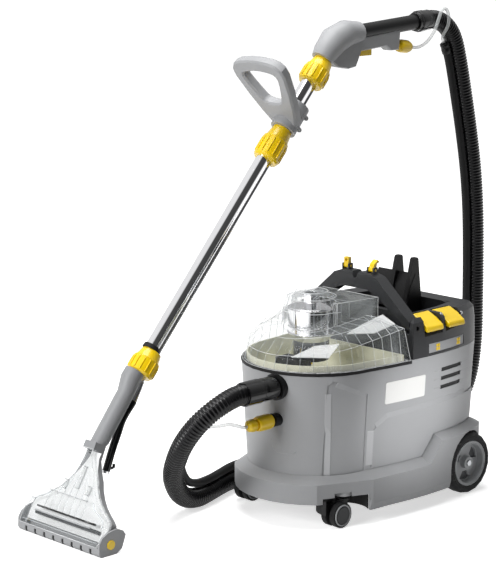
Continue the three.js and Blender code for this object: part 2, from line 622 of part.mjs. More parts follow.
function airPath(group) {
  // cut-off chamber under the dome, open below
  const neckR = 15;
  const neckTop = DOME_TOP - LID_WALL - GAP;
  const chamber = ringOf([[CHAMBER_R - 10, CHAMBER_FOOT - 14], [CHAMBER_R, CHAMBER_FOOT],
    [CHAMBER_R, CHAMBER_TOP],
    [neckR, CHAMBER_TOP + 8], [neckR, neckTop], [neckR - 3, neckTop], [neckR - 3, CHAMBER_TOP + 6],
    [CHAMBER_R - 3, CHAMBER_TOP - 2], [CHAMBER_R - 3, CHAMBER_FOOT + 1],
      [CHAMBER_R - 13, CHAMBER_FOOT - 14]], 16);
  group.add(mesh('cut_off_chamber', moved(chamber, DOME_X, 0, 0), CHROME));
  // filter basket that hangs on the chamber's foot
  const seat = CHAMBER_FOOT - 14 - GAP;
  const basketR = CHAMBER_R - 10;
  let basket = asSolid(ringOf([[FLOAT_STEM_R + GAP, BASKET_FOOT], [basketR, BASKET_FOOT],
    [basketR, seat], [basketR - 3, seat],
    [basketR - 3, BASKET_FOOT + 3], [FLOAT_STEM_R + GAP, BASKET_FOOT + 3]], 16));
  for (let k = 0; k < 6; k += 1) {
    const slot = block(0, -7, BASKET_FOOT + 8, 60, 7, seat - 6).rotateZ((k * Math.PI) / 3);
    basket = cut(basket, slot);
  }
  group.add(mesh('filter_basket', basket.translate([DOME_X, 0, 0]), BLACK));
  const ball = revolve([[0, BASKET_FOOT - 12], [FLOAT_STEM_R, BASKET_FOOT - 12],
    [FLOAT_STEM_R, FLOAT_FOOT], [FLOAT_R - 6, FLOAT_FOOT],
    [FLOAT_R, FLOAT_FOOT + 6], [FLOAT_R, FLOAT_FOOT + 16], [0, FLOAT_FOOT + 20]], 16);
  group.add(mesh('float_valve', moved(ball, DOME_X, 0, 0), YELLOW));
  // fluff filter in the tank's mouth behind the hose port
  const mouth = NOSE_X - NOSE_R + 48;
  let lint = cut(block(mouth - 14, PORT_Y - 30, PORT_Z - 30, mouth + 22, PORT_Y + 30,
    LID_SEAM + SEAL_H + 18),
    block(mouth - 11, PORT_Y - 27, PORT_Z - 27, mouth + 19, PORT_Y + 27, 400));
  lint = cut(lint, rod('x', PORT_R, mouth - 40, mouth, PORT_Y, PORT_Z));
  for (let k = 0; k < 4; k += 1) {
    lint = cut(lint, block(mouth + 10, PORT_Y - 22 + k * 12, PORT_Z - 20, mouth + 40,
      PORT_Y - 14 + k * 12, PORT_Z + 20));
  }
  group.add(mesh('fluff_filter', lint, BLACK));
}

// ---- control panel ------------------------------------------------------------------------
const traySlope = Math.atan2(TRAY_HIGH[1] - TRAY_LOW[1], TRAY_HIGH[0] - TRAY_LOW[0]);

function controlPanel(group) {
  const ring = (out, z) => level(grown(REAR_PLAN, out), z);
  let body = asSolid(loft([ring(0, SEAM + GAP), ring(-1, 350), ring(-4, PANEL_TOP - 8),
    ring(-12, PANEL_TOP)]));
  body = cut(body, loft([ring(-WALL - 1, SEAM - 10), ring(-WALL - 1, PANEL_DECK - 8)]));
  body = cut(body, loft([ring(-WELL_IN, PANEL_DECK), ring(-WELL_IN, PANEL_TOP + 40)]));
  body = cut(body, block(0, -HANDLE_HALF - 2, PANEL_DECK, HANDLE_X + 22, HANDLE_HALF + 2, PANEL_TOP + 40));
  const [lowY, lowZ] = TRAY_LOW;
  const [highY, highZ] = TRAY_HIGH;
  for (const x of Object.values(SWITCHES)) {
    const reach = SWITCH_L / 2 + SWITCH_CLEAR;
    const above = [[lowY - 30, lowZ], [lowY - 30, 420], [highY, 420], [highY, highZ], [lowY, lowZ]];
    body = cut(body, prismYZ(above, x - reach, x + reach));
  }
  const strip = prismXZ([[STRIP_X[0], STRIP_Z[0]], [STRIP_X[1], STRIP_Z[0]], [STRIP_X[1], STRIP_Z[1]],
    [STRIP_X[0], STRIP_Z[1]]], -300, 0);
  const face = (out) => loft([ring(out, SEAM - 10), ring(out, 420)]);
  body = cut(body, cut(strip, face(-STRIP_T - 1)));
  body = cut(body, rod('y', HANDLE_PIN_R + GAP, -400, 400, HANDLE_X, HANDLE_PIVOT_Z, 16));
  group.add(mesh('control_panel', body, CHARCOAL));
  const inset = GAP;
  const plate = prismXZ([[STRIP_X[0] + inset, STRIP_Z[0] + inset], [STRIP_X[1] - inset, STRIP_Z[0] + inset],
    [STRIP_X[1] - inset, STRIP_Z[1] - inset], [STRIP_X[0] + inset, STRIP_Z[1] - inset]], -300, 0);
  group.add(mesh('indicator_strip', cut(common(plate, face(-1.2)), face(-STRIP_T - 1 + GAP)), DARK_GREY));
  for (const [name, x] of Object.entries(SWITCHES)) {
    const s = SWITCH_HALF;
    const side = [[0, 0], [s, 4.2], [s, 8.7], [s - 5, 14], [0, 16], [5 - s, 14], [-s, 8.7], [-s, 4.2]];
    const piece = mesh(name, prismYZ(side, -SWITCH_L / 2, SWITCH_L / 2), YELLOW);
    piece.position.set(x, (lowY + highY) / 2 - GAP * Math.sin(traySlope),
      (lowZ + highZ) / 2 + GAP * Math.cos(traySlope));
    piece.rotation.x = traySlope - THREE.MathUtils.degToRad(SWITCH_TURN);
    group.add(piece);
  }
}

// ---- carry handle -------------------------------------------------------------------------
function carryHandle(group) {
  const h = HANDLE_HALF;
  const foot = HANDLE_PIVOT_Z - HANDLE_FOOT_R;
  const outer = [[h, foot], [h, HANDLE_PIVOT_Z + 12], [h - 12, HANDLE_PIVOT_Z + 24],
    [56, HANDLE_TOP - 7], [36, HANDLE_TOP]];
  const inner = [[h - HANDLE_ARM, foot], [h - HANDLE_ARM, HANDLE_PIVOT_Z + 6],
    [h - HANDLE_ARM - 9, HANDLE_PIVOT_Z + 15],
    [50, HANDLE_TOP - HANDLE_BAR - 6], [32, HANDLE_TOP - HANDLE_BAR]];
  const flipped = (points) => points.map(([y, z]) => [-y, z]);
  const outline = [...outer, ...flipped(outer).reverse(), ...flipped(inner), ...[...inner].reverse()];
  const arch = prismYZ(outline, HANDLE_X - 60, HANDLE_X + 60);
  const half = HANDLE_DEPTH / 2;
  const profile = new THREE.Shape();
  profile.absarc(HANDLE_X, HANDLE_PIVOT_Z, HANDLE_FOOT_R, Math.PI, 2 * Math.PI, false);
  profile.lineTo(HANDLE_X + half, HANDLE_PIVOT_Z + 26);
  profile.lineTo(HANDLE_X + half, HANDLE_TOP - 4);
  profile.lineTo(HANDLE_X + half - 4, HANDLE_TOP + 1);
  profile.lineTo(HANDLE_X - half + 4, HANDLE_TOP + 1);
  profile.lineTo(HANDLE_X - half, HANDLE_TOP - 4);
  profile.lineTo(HANDLE_X - half, HANDLE_PIVOT_Z + 26);
  const side = new THREE.ExtrudeGeometry(profile, { depth: 600, bevelEnabled: false, curveSegments: 4 });
  side.rotateX(Math.PI / 2).translate(0, 300, 0);
  let body = common(arch, side);
  const notch = [[-9, HANDLE_TOP + 2], [9, HANDLE_TOP + 2], [3, HANDLE_TOP - 13], [-3, HANDLE_TOP - 13]];
  body = cut(body, prismYZ(notch, HANDLE_X - 60, HANDLE_X + 60));
  const trunnion = rod('y', HANDLE_PIN_R, h - HANDLE_ARM, h + 8, HANDLE_X, HANDLE_PIVOT_Z, 16);
  body = join(body, trunnion, moved(trunnion, 0, HANDLE_ARM - 2 * h - 8, 0));
  const pinZ = HANDLE_TOP + 6;
  for (const turn of [-1, 1]) {
    for (const ear of [-1, 1]) {
      const y = turn * HOOK_Y + ear * (HOOK_W / 2 + GAP + 1.5);
      body = join(body, block(HANDLE_X - 6, y - 1.5, HANDLE_TOP - 6, HANDLE_X + 6, y + 1.5, pinZ + 5));
    }
  }
  body = cut(body, rod('y', HOOK_PIN_R + GAP, -60, 60, HANDLE_X, pinZ, 12));
  group.add(mesh('carry_handle', body, CHARCOAL));
  for (const [turn, name] of [[-1, 'near'], [1, 'far']]) {
    const reach = HOOK_W / 2 + GAP + 3;
    const pin = rod('y', HOOK_PIN_R, turn * HOOK_Y - reach, turn * HOOK_Y + reach, HANDLE_X, pinZ, 12);
    const y = turn * HOOK_Y;
    const w = HOOK_W / 2;
    const plate = new THREE.Shape();
    plate.absarc(0, 0, 4.6, Math.PI, 2 * Math.PI, false);
    plate.lineTo(turn < 0 ? 8 : 4, 12);
    plate.lineTo(turn < 0 ? 15 : 4, turn < 0 ? 14 : 17);
    plate.lineTo(turn < 0 ? 10 : -4, turn < 0 ? 19 : 17);
    plate.lineTo(turn < 0 ? 0 : -4, 12);
    let hook = asSolid(new THREE.ExtrudeGeometry(plate,
      { depth: 2 * w, bevelEnabled: false, curveSegments: 6 })
      .rotateX(Math.PI / 2).translate(HANDLE_X, y + w, pinZ));
    if (turn > 0) hook = cut(hook, rod('x', 3, HANDLE_X - 20, HANDLE_X + 20, y, pinZ + 11.5, 12));
    group.add(mesh(`cable_hook_${name}`, join(hook, pin), YELLOW));
  }
}

function toolHolder(group) {
  const foot = PANEL_DECK + GAP;
  const prong = [[HOLDER_X - 22, foot], [HOLDER_X + 34, foot], [HOLDER_X + 20, HOLDER_TOP - 3],
    [HOLDER_X + 17, HOLDER_TOP],
    [HOLDER_X + 8, HOLDER_TOP], [HOLDER_X + 5, HOLDER_TOP - 4], [HOLDER_X - 4, HOLDER_TOP - 40]];
  const scoop = [[HOLDER_X - 22, foot], [HOLDER_X - 14, foot], [HOLDER_X + 2, HOLDER_TOP - 60],
    [HOLDER_X + 16, HOLDER_TOP - 36],
    [HOLDER_X + 11, HOLDER_TOP - 32], [HOLDER_X - 3, HOLDER_TOP - 56]];
  const [nearY, farY] = HOLDER_SPAN;
  let holder = join(prismXZ(scoop, nearY, farY), block(HOLDER_X - 22, nearY, foot, HOLDER_X + 34, farY,
    foot + 4));
  for (const y of HOLDER_PRONGS) holder = join(holder, prismXZ(prong, y - 5, y + 5));
  group.add(mesh('tool_holder', holder, CHARCOAL));
}

// ---- motor bay ----------------------------------------------------------------------------
function motorBay(group) {
  const floor = MOTOR_BAY_FLOOR + GAP;
  const motor = revolve([[0, floor], [52, floor], [52, floor + 16], [46, floor + 18], [46, floor + 84],
    [40, floor + 92], [40, floor + 112],
    [12, floor + 118], [0, floor + 118]], 16);
  group.add(mesh('vacuum_motor', moved(motor, 168, 40, 0), STEEL));
  const pump = join(block(30, 40, floor, 96, 80, floor + 34),
    rod('x', 15, 34, 110, 60, floor + 44, 16), block(52, 48, floor + 30, 78, 72, floor + 34));
  group.add(mesh('spray_pump', pump, BLACK));
  group.add(mesh('battery_pack', block(40, -120, floor, 150, -40, floor + 70), CHARCOAL));
}

// ---- hose side ----------------------------------------------------------------------------
function hosePort(group) {
  const skin = housingEnvelope(GAP, HOUSING_FOOT, REAR_FOOT);
  const face = NOSE_X - NOSE_R;
  let port = join(rod('x', PORT_R, face + 8, face + 38, PORT_Y, PORT_Z),
    cut(rod('x', PORT_R + 2, face + 1, face + 30, PORT_Y, PORT_Z), skin,
    block(-400, -300, LID_SEAM, 0, 300, 400)));
  port = cut(port, rod('x', PORT_BORE_R, face - 30, face + 80, PORT_Y, PORT_Z));
  group.add(mesh('suction_port', port, BLACK));
  const along = (points, y, z, sides = 16) => moved(ringOf(points, sides).rotateY(-Math.PI / 2), 0, y, z);
  const out = -face; // distances along -X, from the machine's middle
  const r = PORT_BORE_R - GAP;
  const bore = HOSE_R + 2 * GAP;
  const cuff = along([[16, out - 22], [r, out - 22], [r, out + 1.4], [22.5, out + 3], [22.5, out + 30],
    [21.5, out + 32],
    [21.5, CUFF_END - CUFF_GRIP - 4], [23.5, CUFF_END - CUFF_GRIP - 2], [23.5, CUFF_END], [bore, CUFF_END],
    [bore, CUFF_END - CUFF_GRIP], [16, CUFF_END - CUFF_GRIP]], PORT_Y, PORT_Z);
  group.add(mesh('machine_cuff', cuff, BLACK));
  let socket = join(rod('x', 11, face + 2, face + 10.5, PORT_Y, COUPLING_Z, 16),
    cut(rod('x', 13, face - 4, face + 20, PORT_Y, COUPLING_Z, 20), skin));
  socket = cut(socket, rod('x', 6.3, face - 30, face + 12, PORT_Y, COUPLING_Z, 16));
  group.add(mesh('spray_port', socket, BLACK));
  const nipple = along([[1.6, out + 4], [6, out + 4], [6, out + 11], [8, out + 11], [8, out + 52],
    [12, out + 52], [13, out + 56], [11, out + 66],
    [6, out + 70], [1.6, out + 70]], PORT_Y, COUPLING_Z, 12);
  group.add(mesh('spray_nipple', nipple, YELLOW));
  const sleeve = along([[8.3, out + 9.5], [14, out + 9.5], [15, out + 14], [15, out + 40],
    [13, out + 46], [8.3, out + 46]], PORT_Y, COUPLING_Z, 16);
  group.add(mesh('coupling_sleeve', sleeve, YELLOW));
}

const vector = ([x, y, z]) => new THREE.Vector3(x, y, z);
const hosePath = new THREE.CatmullRomCurve3(HOSE_ROUTE.map(vector), false, 'centripetal');

function ribbedHose() {
  const sides = 8;
  const steps = 2 * HOSE_RIBS;
  const frames = hosePath.computeFrenetFrames(steps, false);
  const ringAt = (k, radius) => {
    const centre = hosePath.getPointAt(k / steps);
    return Array.from({ length: sides }, (_, j) => {
      const turn = (j / sides) * 2 * Math.PI;
      return centre.clone().addScaledVector(frames.normals[k], radius * Math.cos(turn))
        .addScaledVector(frames.binormals[k], radius * Math.sin(turn));
    });
  };
  const outside = [];
  for (let k = 0; k <= steps; k += 1) outside.push(ringAt(k, k % 2 ? HOSE_R : HOSE_R - RIB_DEPTH));
  const inside = [];
  for (let k = 0; k <= steps; k += 2) inside.push(ringAt(k, HOSE_BORE_R));
  const points = [...outside, ...inside.reverse()].flat();
  const rings = outside.length + inside.length;
  const index = [];
  for (let k = 0; k < rings; k += 1) {
    const next = (k + 1) % rings;
    for (let j = 0; j < sides; j += 1) {
      const turn = (j + 1) % sides;
      const [a, b, c, d] = [k * sides + j, k * sides + turn, next * sides + turn, next * sides + j];
      index.push(a, b, c, a, c, d);
    }
  }
  const geometry = new THREE.BufferGeometry();
  geometry.setAttribute('position', new THREE.Float32BufferAttribute(points.flatMap((p) => [p.x, p.y,
    p.z]), 3));
  geometry.setIndex(index);
  return geometry;
}

function plainTube(path, radius, steps, sides = 6) {
  const section = new THREE.Shape();
  section.absarc(0, 0, radius, 0, 2 * Math.PI, false);
  return new THREE.ExtrudeGeometry(section, { steps, curveSegments: sides / 2, extrudePath: path,
    bevelEnabled: false });
}

// the spray line's sheath runs along the inner side of the hose's bends
function sheathPath() {
  const centre = vector(LOOP_MIDDLE);
  const [start, end] = SHEATH_SPAN;
  const count = 44;
  const points = [];
  for (let k = 0; k <= count; k += 1) {
    const u = start + ((end - start) * k) / count;
    const at = hosePath.getPointAt(u);
    const along = hosePath.getTangentAt(u);
    const inward = centre.clone().sub(at);
    inward.addScaledVector(along, -inward.dot(along)).normalize();
    points.push(at.addScaledVector(inward, HOSE_R + SHEATH_R + SHEATH_CLEAR));
  }
  return new THREE.CatmullRomCurve3(points, false, 'centripetal');
}

function hoses(group) {
  group.add(mesh('suction_hose', ribbedHose(), BLACK));
  const sheath = sheathPath();
  group.add(mesh('hose_sheath', plainTube(sheath, SHEATH_R, 60), BLACK));
  // each clear tube runs into the sheath's end
  const tube = (route, u) => {
    const out = sheath.getTangentAt(u).multiplyScalar(u ? 1 : -1);
    const mouth = sheath.getPointAt(u);
    const entry = [14, 0.5].map((reach) => mouth.clone().addScaledVector(out, reach));
    return new THREE.CatmullRomCurve3([...route.map(vector), ...entry], false, 'centripetal');
  };
  group.add(mesh('spray_tube_machine', plainTube(tube(TUBE_MACHINE, 0), CLEAR_TUBE_R, 14), CLEAR));
  group.add(mesh('spray_tube_grip', plainTube(tube(TUBE_GRIP, 1), CLEAR_TUBE_R, 20), CLEAR));
}

// ---- wand ---------------------------------------------------------------------------------
// local frame: +Z up the tube, +X to its underside
function collar(name, [from, to], group) {
  const length = to - from;
  let body = asSolid(revolve([[0, from], [COLLAR_R - 3, from], [COLLAR_R, from + 4],
    [COLLAR_R, from + length * 0.62],
    [COLLAR_R - 3, from + length * 0.68], [COLLAR_R - 7, to], [0, to]], 16));
  body = body.translate([COLLAR_OFF, 0, 0]);
  body = cut(body, rod('z', TUBE_R + GAP, from - 5, to + 5, 0, 0, 16),
    rod('z', SPRAY_R + GAP, from - 5, to + 5, SPRAY_OFF, 0, 12));
  group.add(mesh(name, body, YELLOW));
}

// black pipe from the wand's spray line down behind the neck to the nozzle
function lowerPipe() {
  const turn = THREE.MathUtils.degToRad(WAND_ANGLE);
  const stations = PIPE_ROUTE.map(([x, z]) => {
    const [dx, dz] = [x - WAND_FOOT[0], z - WAND_FOOT[1]];
    return vector([dx * Math.sin(turn) - dz * Math.cos(turn), 0,
      dx * Math.cos(turn) + dz * Math.sin(turn)]);
  });
  return sweep(stations.map((at, k) => ({
    at, radius: k < 2 ? SPRAY_R : PIPE_R, along: stations[Math.max(k - 1,
      0)].clone().sub(stations[Math.min(k + 1, stations.length - 1)]).normalize(),
  })).reverse(), 12);
}

function wand(group) {
  const tubeRing = (from, to) => ringOf([[TUBE_R - TUBE_T, from], [TUBE_R, from], [TUBE_R, to],
    [TUBE_R - TUBE_T, to]], 20);
  const lowerEnd = LOWER_COLLAR[0] + 12;
  group.add(mesh('lower_tube', tubeRing(lowerEnd, MIDDLE_COLLAR[1] - 30), CHROME));
  group.add(mesh('upper_tube', tubeRing(MIDDLE_COLLAR[1] - 29, UPPER_COLLAR[1] - 12), CHROME));
  group.add(mesh('spray_line', join(rod('z', SPRAY_R, LOWER_COLLAR[0] - 6, UPPER_COLLAR[1] - 12,
    SPRAY_OFF, 0, 12), lowerPipe()), CHROME));
  const seal = ringOf([[TUBE_R + GAP, 0.5], [TUBE_R + 4, 0.5], [TUBE_R + 3, 9], [TUBE_R + GAP, 9]], 20);
  group.add(mesh('tube_seal', cut(seal, rod('z', SPRAY_R + GAP, -5, 20, SPRAY_OFF, 0, 12)), BLACK));
  collar('lower_collar', LOWER_COLLAR, group);
  collar('middle_collar', MIDDLE_COLLAR, group);
  collar('upper_collar', UPPER_COLLAR, group);

  // second handle: a loop on a boss that is clamped round both tubes
  const middle = (BOSS[0] + BOSS[1]) / 2;
  const loop = new THREE.Shape();
  const corner = (path, points) => {
    path.moveTo(...points[0]);
    for (let k = 1; k + 1 < points.length; k += 2) path.quadraticCurveTo(...points[k], ...points[k + 1]);
    path.closePath();
  };
  corner(loop, [[0, -30], [20, -30], [26, -10], [52, 44], [66, 115], [70, 143], [40, 148], [0, 156],
    [-40, 148], [-70, 143],
    [-66, 115], [-52, 44], [-26, -10], [-20, -30], [0, -30]]);
  const window = new THREE.Path();
  corner(window, [[0, 44], [22, 44], [28, 55], [44, 89], [49, 111], [51, 126], [30, 129], [0, 135],
    [-30, 129], [-51, 126],
    [-49, 111], [-44, 89], [-28, 55], [-22, 44], [0, 44]]);
  loop.holes.push(window);
  const bevel = { bevelEnabled: true, bevelThickness: 4, bevelSize: 3.5, bevelSegments: 1 };
  const plate = new THREE.ExtrudeGeometry(loop, { depth: LOOP_T - 8, curveSegments: 3, ...bevel });
  plate.rotateX(Math.PI / 2).rotateZ(Math.PI / 2).translate(-(LOOP_T - 8) / 2, 0, 0);
  plate.rotateY(THREE.MathUtils.degToRad(-LOOP_LEAN)).translate(0, 0, middle - 8);
  const bossBody = rod('z', COLLAR_R, BOSS[0], BOSS[1], COLLAR_OFF, 0, 22);
  const bores = [rod('z', TUBE_R + GAP, 0, 1000, 0, 0, 16),
    rod('z', SPRAY_R + GAP, 0, 1000, SPRAY_OFF, 0, 12)];
  const split = block(SPLIT_X, -100, 0, 200, 100, 1000);
  const slab = block(-200, -200, BOSS[0] - 80, 200, 200, BOSS[0]);
  // clamp half: hooked over the far side and held by two screws on the near side
  const screwY = 5.5 - COLLAR_R;
  const screwAt = [BOSS[0] + 16, BOSS[1] - 16];
  const lugs = screwAt.map((t) => rod('x', 5, SPLIT_X + GAP, SPLIT_X + LUG, screwY, t, 12));
  const holes = screwAt.map((t) => rod('x', 2.4, SPLIT_X - 16, SPLIT_X + 40, screwY, t, 8));
  const below = block(SPLIT_X + GAP, -100, 0, 200, 100, 1000);
  group.add(mesh('second_handle', cut(join(plate, bossBody), split, slab, ...bores, ...holes), GREY));
  group.add(mesh('handle_clamp', cut(common(join(bossBody, ...lugs), below), ...bores, ...holes), GREY));
  screwAt.forEach((t, k) => {
    const screw = join(rod('x', 2.1, SPLIT_X - 14, SPLIT_X + LUG + GAP + 0.5, screwY, t, 8),
      rod('x', 3.6, SPLIT_X + LUG + GAP, SPLIT_X + LUG + 2.6, screwY, t, 12));
    group.add(mesh(`clamp_screw_${k ? 'upper' : 'lower'}`, screw, STEEL));
  });
}

// ---- grip ---------------------------------------------------------------------------------
// local frame: the wand's upright plane, X to the rear and Z up
const wandDirection = new THREE.Vector3(Math.cos(THREE.MathUtils.degToRad(WAND_ANGLE)), 0,
  Math.sin(THREE.MathUtils.degToRad(WAND_ANGLE)));
const onWand = (t) => new THREE.Vector3(WAND_FOOT[0], 0, WAND_FOOT[1]).addScaledVector(wandDirection, t);

function grip(group) {
  const start = vector([GRIP_START[0], 0, GRIP_START[1]]);
  const end = vector([GRIP_END[0], 0, GRIP_END[1]]);
  const along = end.clone().sub(start).normalize();
  const tube = (radius, from, to) => sweep([{ at: start.clone().addScaledVector(along, from), along,
    radius },
    { at: start.clone().addScaledVector(along, to), along, radius }], 20);
  const length = end.distanceTo(start);
  const neckFoot = onWand(UPPER_COLLAR[1] + GAP);
  const elbow = sweep([
    { at: neckFoot, along: wandDirection, radius: 22 },
    { at: onWand(UPPER_COLLAR[1] + 18), along: wandDirection, radius: 26 },
    { at: vector([143, 0, 889]), along: vector([0.84, 0, 0.54]), radius: 30 },
    { at: vector([178, 0, 902]), along: vector([0.97, 0, 0.24]), radius: 28 },
    { at: start.clone().addScaledVector(along, 2), along, radius: 22 },
  ], 16);
  const under = new THREE.Shape(UNDER_GRIP.map(([x, z]) => new THREE.Vector2(x, z)));
  const housing = new THREE.ExtrudeGeometry(under, { depth: 20, bevelEnabled: true, bevelThickness: 3,
    bevelSize: 2, bevelSegments: 1 });
  housing.rotateX(Math.PI / 2).translate(0, 10, 0);
  const [tx0, tx1, tz0] = TRIGGER;
  const pocket = block(tx0 - GAP, -6.5 - GAP, tz0 - 20, tx1 + GAP, 6.5 + GAP,
    tz0 + TRIGGER_H + TRIGGER_TRAVEL + GAP);
  const body = cut(join(elbow, housing), tube(GRIP_R + GAP, -6, length + 60), pocket);
  group.add(mesh('grip_body', body, GREY));
  group.add(mesh('grip_tube', tube(GRIP_R, -5, length), BLACK));
  group.add(mesh('spray_trigger', block(tx0, -6.5, tz0, tx1, 6.5, tz0 + TRIGGER_H), YELLOW));
  const cuffEnd = length + GRIP_CUFF;
  const cuffBore = HOSE_R + 2 * GAP;
  const cuffPoints = [[12, length + GAP], [GRIP_R + 4, length + GAP], [GRIP_R + 4, length + 7],
    [HOSE_R + 3, length + 9],
    [HOSE_R + 3, length + 24], [HOSE_R + 2, length + 26], [HOSE_R + 2, cuffEnd], [cuffBore, cuffEnd],
      [cuffBore, length + 9], [12, length + 9]];
  const cuff = mesh('grip_cuff', ringOf(cuffPoints, 16), BLACK);
  cuff.position.copy(start);
  cuff.rotation.y = Math.atan2(along.x, along.z);
  group.add(cuff);
  const knob = mesh('grip_coupling', revolve([[0, 0], [7, 0], [7, 4], [13, 6], [14, 12], [14, 30],
    [10, 40], [5, 44], [0, 44]], 16), YELLOW);
  knob.position.set(GRIP_COUPLING[0], 0, GRIP_COUPLING[1]);
  knob.rotation.y = THREE.MathUtils.degToRad(98);
  group.add(knob);
}

// ---- floor nozzle -------------------------------------------------------------------------
// local frame of the fan: +Z up its slope, +X to its back
function nozzle(group, shoeGroup) {
  const [drift, start, most] = FAN_SKEW;
  const middleAt = (z) => THREE.MathUtils.clamp(drift * (z - start), 0, most);
  const outline = (inset) => {
    const right = FAN_HALF.map(([z, half]) => [middleAt(z) + half - inset, z]);
    const left = FAN_HALF.map(([z, half]) => [middleAt(z) - half + inset, z]);
    return [...right, ...left.reverse()];
  };
  const clip = (points, low, high) => points.map(([y, z]) => [y, THREE.MathUtils.clamp(z, low, high)]);
  const back = prismYZ(clip(outline(0), FAN_BACK_FOOT, FAN_LENGTH), GAP, FAN_BACK_T);
  const coverTop = FAN_LENGTH - 14;
  const cap = common(prismYZ(outline(0), -RIM_T, GAP + 1), block(-50, -150, coverTop, 50, 150, 300));
  const lean = THREE.MathUtils.degToRad(NOZZLE_LEAN);
  const toLocal = (point) => {
    const dx = point.x - NOZZLE_X;
    const dz = point.z - SHOE_H;
    return vector([dx * Math.cos(lean) - dz * Math.sin(lean), WAND_Y - NOZZLE_Y,
      dx * Math.sin(lean) + dz * Math.cos(lean)]);
  };
  const neckEnd = toLocal(onWand(LOWER_COLLAR[0] - GAP));
  const localWand = vector([Math.sin(THREE.MathUtils.degToRad(90 - WAND_ANGLE) - lean), 0,
    Math.cos(THREE.MathUtils.degToRad(90 - WAND_ANGLE) - lean)]);
  const clear = vector([-localWand.z, 0, localWand.x]); // away from the spray line
  const bend = neckEnd.clone().addScaledVector(clear, 6);
  const neckAt = (start, thinner, past) => sweep([
    { at: vector([2, most, start]), along: vector([0, 0, 1]), radius: 14 - thinner },
    { at: vector([8, most, FAN_LENGTH + 8]), along: vector([0, 0, 1]), radius: 17 - thinner },
    { at: vector([neckEnd.x / 2 + 7, most, neckEnd.z - 44]), along: vector([0, 0, 1]),
      radius: 17 - thinner },
    { at: bend.clone().addScaledVector(localWand, -18), along: localWand, radius: 20 - thinner },
    { at: bend.clone().addScaledVector(localWand, past), along: localWand, radius: 20 - thinner },
  ], 20);
  const body = cut(join(back, cap, neckAt(FAN_LENGTH - 11, 0, 0)), neckAt(coverTop - 8, 5, 2));
  group.add(mesh('nozzle_body', body, GREY));
  let cover = prismYZ(clip(outline(0), FAN_FOOT, coverTop - GAP), -RIM_T, 0);
  cover = cut(cover, prismYZ(clip(outline(COVER_T), FAN_FOOT - 5, coverTop - 4), COVER_T - RIM_T, 5));
  for (const y of [-34, 0, 34]) {
    const rib = block(-RIM_T + 1, y + 7 - 1, 60 - Math.abs(y) * 0.2, -2, y + 7 + 1, 104 - Math.abs(y));
    cover = join(cover, rib);
  }
  group.add(mesh('nozzle_cover', cover, CLEAR));
  group.add(mesh('spray_bar', block(COVER_T - RIM_T + GAP, -97, -9, -3, 85, -2), CHARCOAL));

  // shoe in the floor frame, with teeth along its front lip
  const half = NOZZLE_W / 2;
  const profile = [[-23, 0], [14, 0], [27, 8], [36, 32], [30, 41], [14, 47], [-6, 44], [-20, 36],
    [-27, 25], [-28, 6]];
  let shoe = asSolid(prismXZ(profile, -half, half));
  shoe = cut(shoe, mountCut(lean, half - END_PLATE_T));
  shoe = cut(shoe, prismXZ([[-17, -5], [-8, -5], [-6, 20], [-12, 40], [-24, 40]], END_PLATE_T - half,
    half - END_PLATE_T));
  const teeth = 8;
  for (let k = 0; k < teeth; k += 1) {
    const y = (k - (teeth - 1) / 2) * ((NOZZLE_W - 24) / teeth);
    shoe = cut(shoe, block(-45, y - 3, -5, -23, y + 3, 13));
  }
  for (const side of [-1, 1]) {
    const from = Math.min(side * half, side * (half - 6));
    shoe = cut(shoe, rod('y', END_BUTTON_R + GAP, from - 0.01, from + 6.01, 0, 20, 16));
  }
  shoeGroup.add(mesh('nozzle_shoe', shoe, DARK_GREY));
  for (const [side, name] of [[-1, 'near'], [1, 'far']]) {
    const low = Math.min(side * (half - BUTTON_IN), side * (half + 5 - BUTTON_IN));
    shoeGroup.add(mesh(`end_button_${name}`, rod('y', END_BUTTON_R, low, low + 5, 0, 20, 16), YELLOW));
  }
}

// room for the foot of the fan between the shoe's end plates
function mountCut(lean, half) {
  const room = block(-60, -half, FAN_FOOT - GAP, FAN_BACK_T + GAP, half, 200);
  return room.rotateY(lean).translate(0, 0, SHOE_H);
}

// ---- assembly -----------------------------------------------------------------------------
const machine = new THREE.Group();
machine.add(chassis(), mainHousing());
rearWheels(machine);
casters(machine);
tankAndLid(machine);
airPath(machine);
controlPanel(machine);
carryHandle(machine);
toolHolder(machine);
motorBay(machine);
hosePort(machine);
hoses(machine);

const wandGroup = new THREE.Group();
wandGroup.position.set(WAND_FOOT[0], WAND_Y, WAND_FOOT[1]);
wandGroup.rotation.y = THREE.MathUtils.degToRad(90 - WAND_ANGLE);
wand(wandGroup);
const gripGroup = new THREE.Group();
gripGroup.position.y = WAND_Y;
grip(gripGroup);
const fanGroup = new THREE.Group();
fanGroup.position.set(NOZZLE_X, NOZZLE_Y, SHOE_H);
fanGroup.rotation.y = THREE.MathUtils.degToRad(NOZZLE_LEAN);
const shoeGroup = new THREE.Group();
shoeGroup.position.set(NOZZLE_X, NOZZLE_Y, 0);
nozzle(fanGroup, shoeGroup);

const outfit = new THREE.Group();
outfit.add(machine, wandGroup, gripGroup, fanGroup, shoeGroup);
const cords = ['suction_hose', 'hose_sheath', 'spray_tube_machine', 'spray_tube_grip'];
outfit.updateMatrixWorld(true);
const bounds = new THREE.Box3();
outfit.traverse((piece) => {
  if (piece.isMesh && !cords.includes(piece.name)) bounds.expandByObject(piece, true);
});
const middle = bounds.getCenter(new THREE.Vector3());
outfit.position.set(-Math.round(middle.x), -Math.round(middle.y), 0);

export default outfit;
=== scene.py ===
# Spot extractor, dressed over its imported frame. Metres; the routes below are in the machine's
# own millimetres, as in the part's source, and place() brings them into the frame.
import json
import math

import bmesh
import bpy
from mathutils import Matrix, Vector
from mathutils.bvhtree import BVHTree

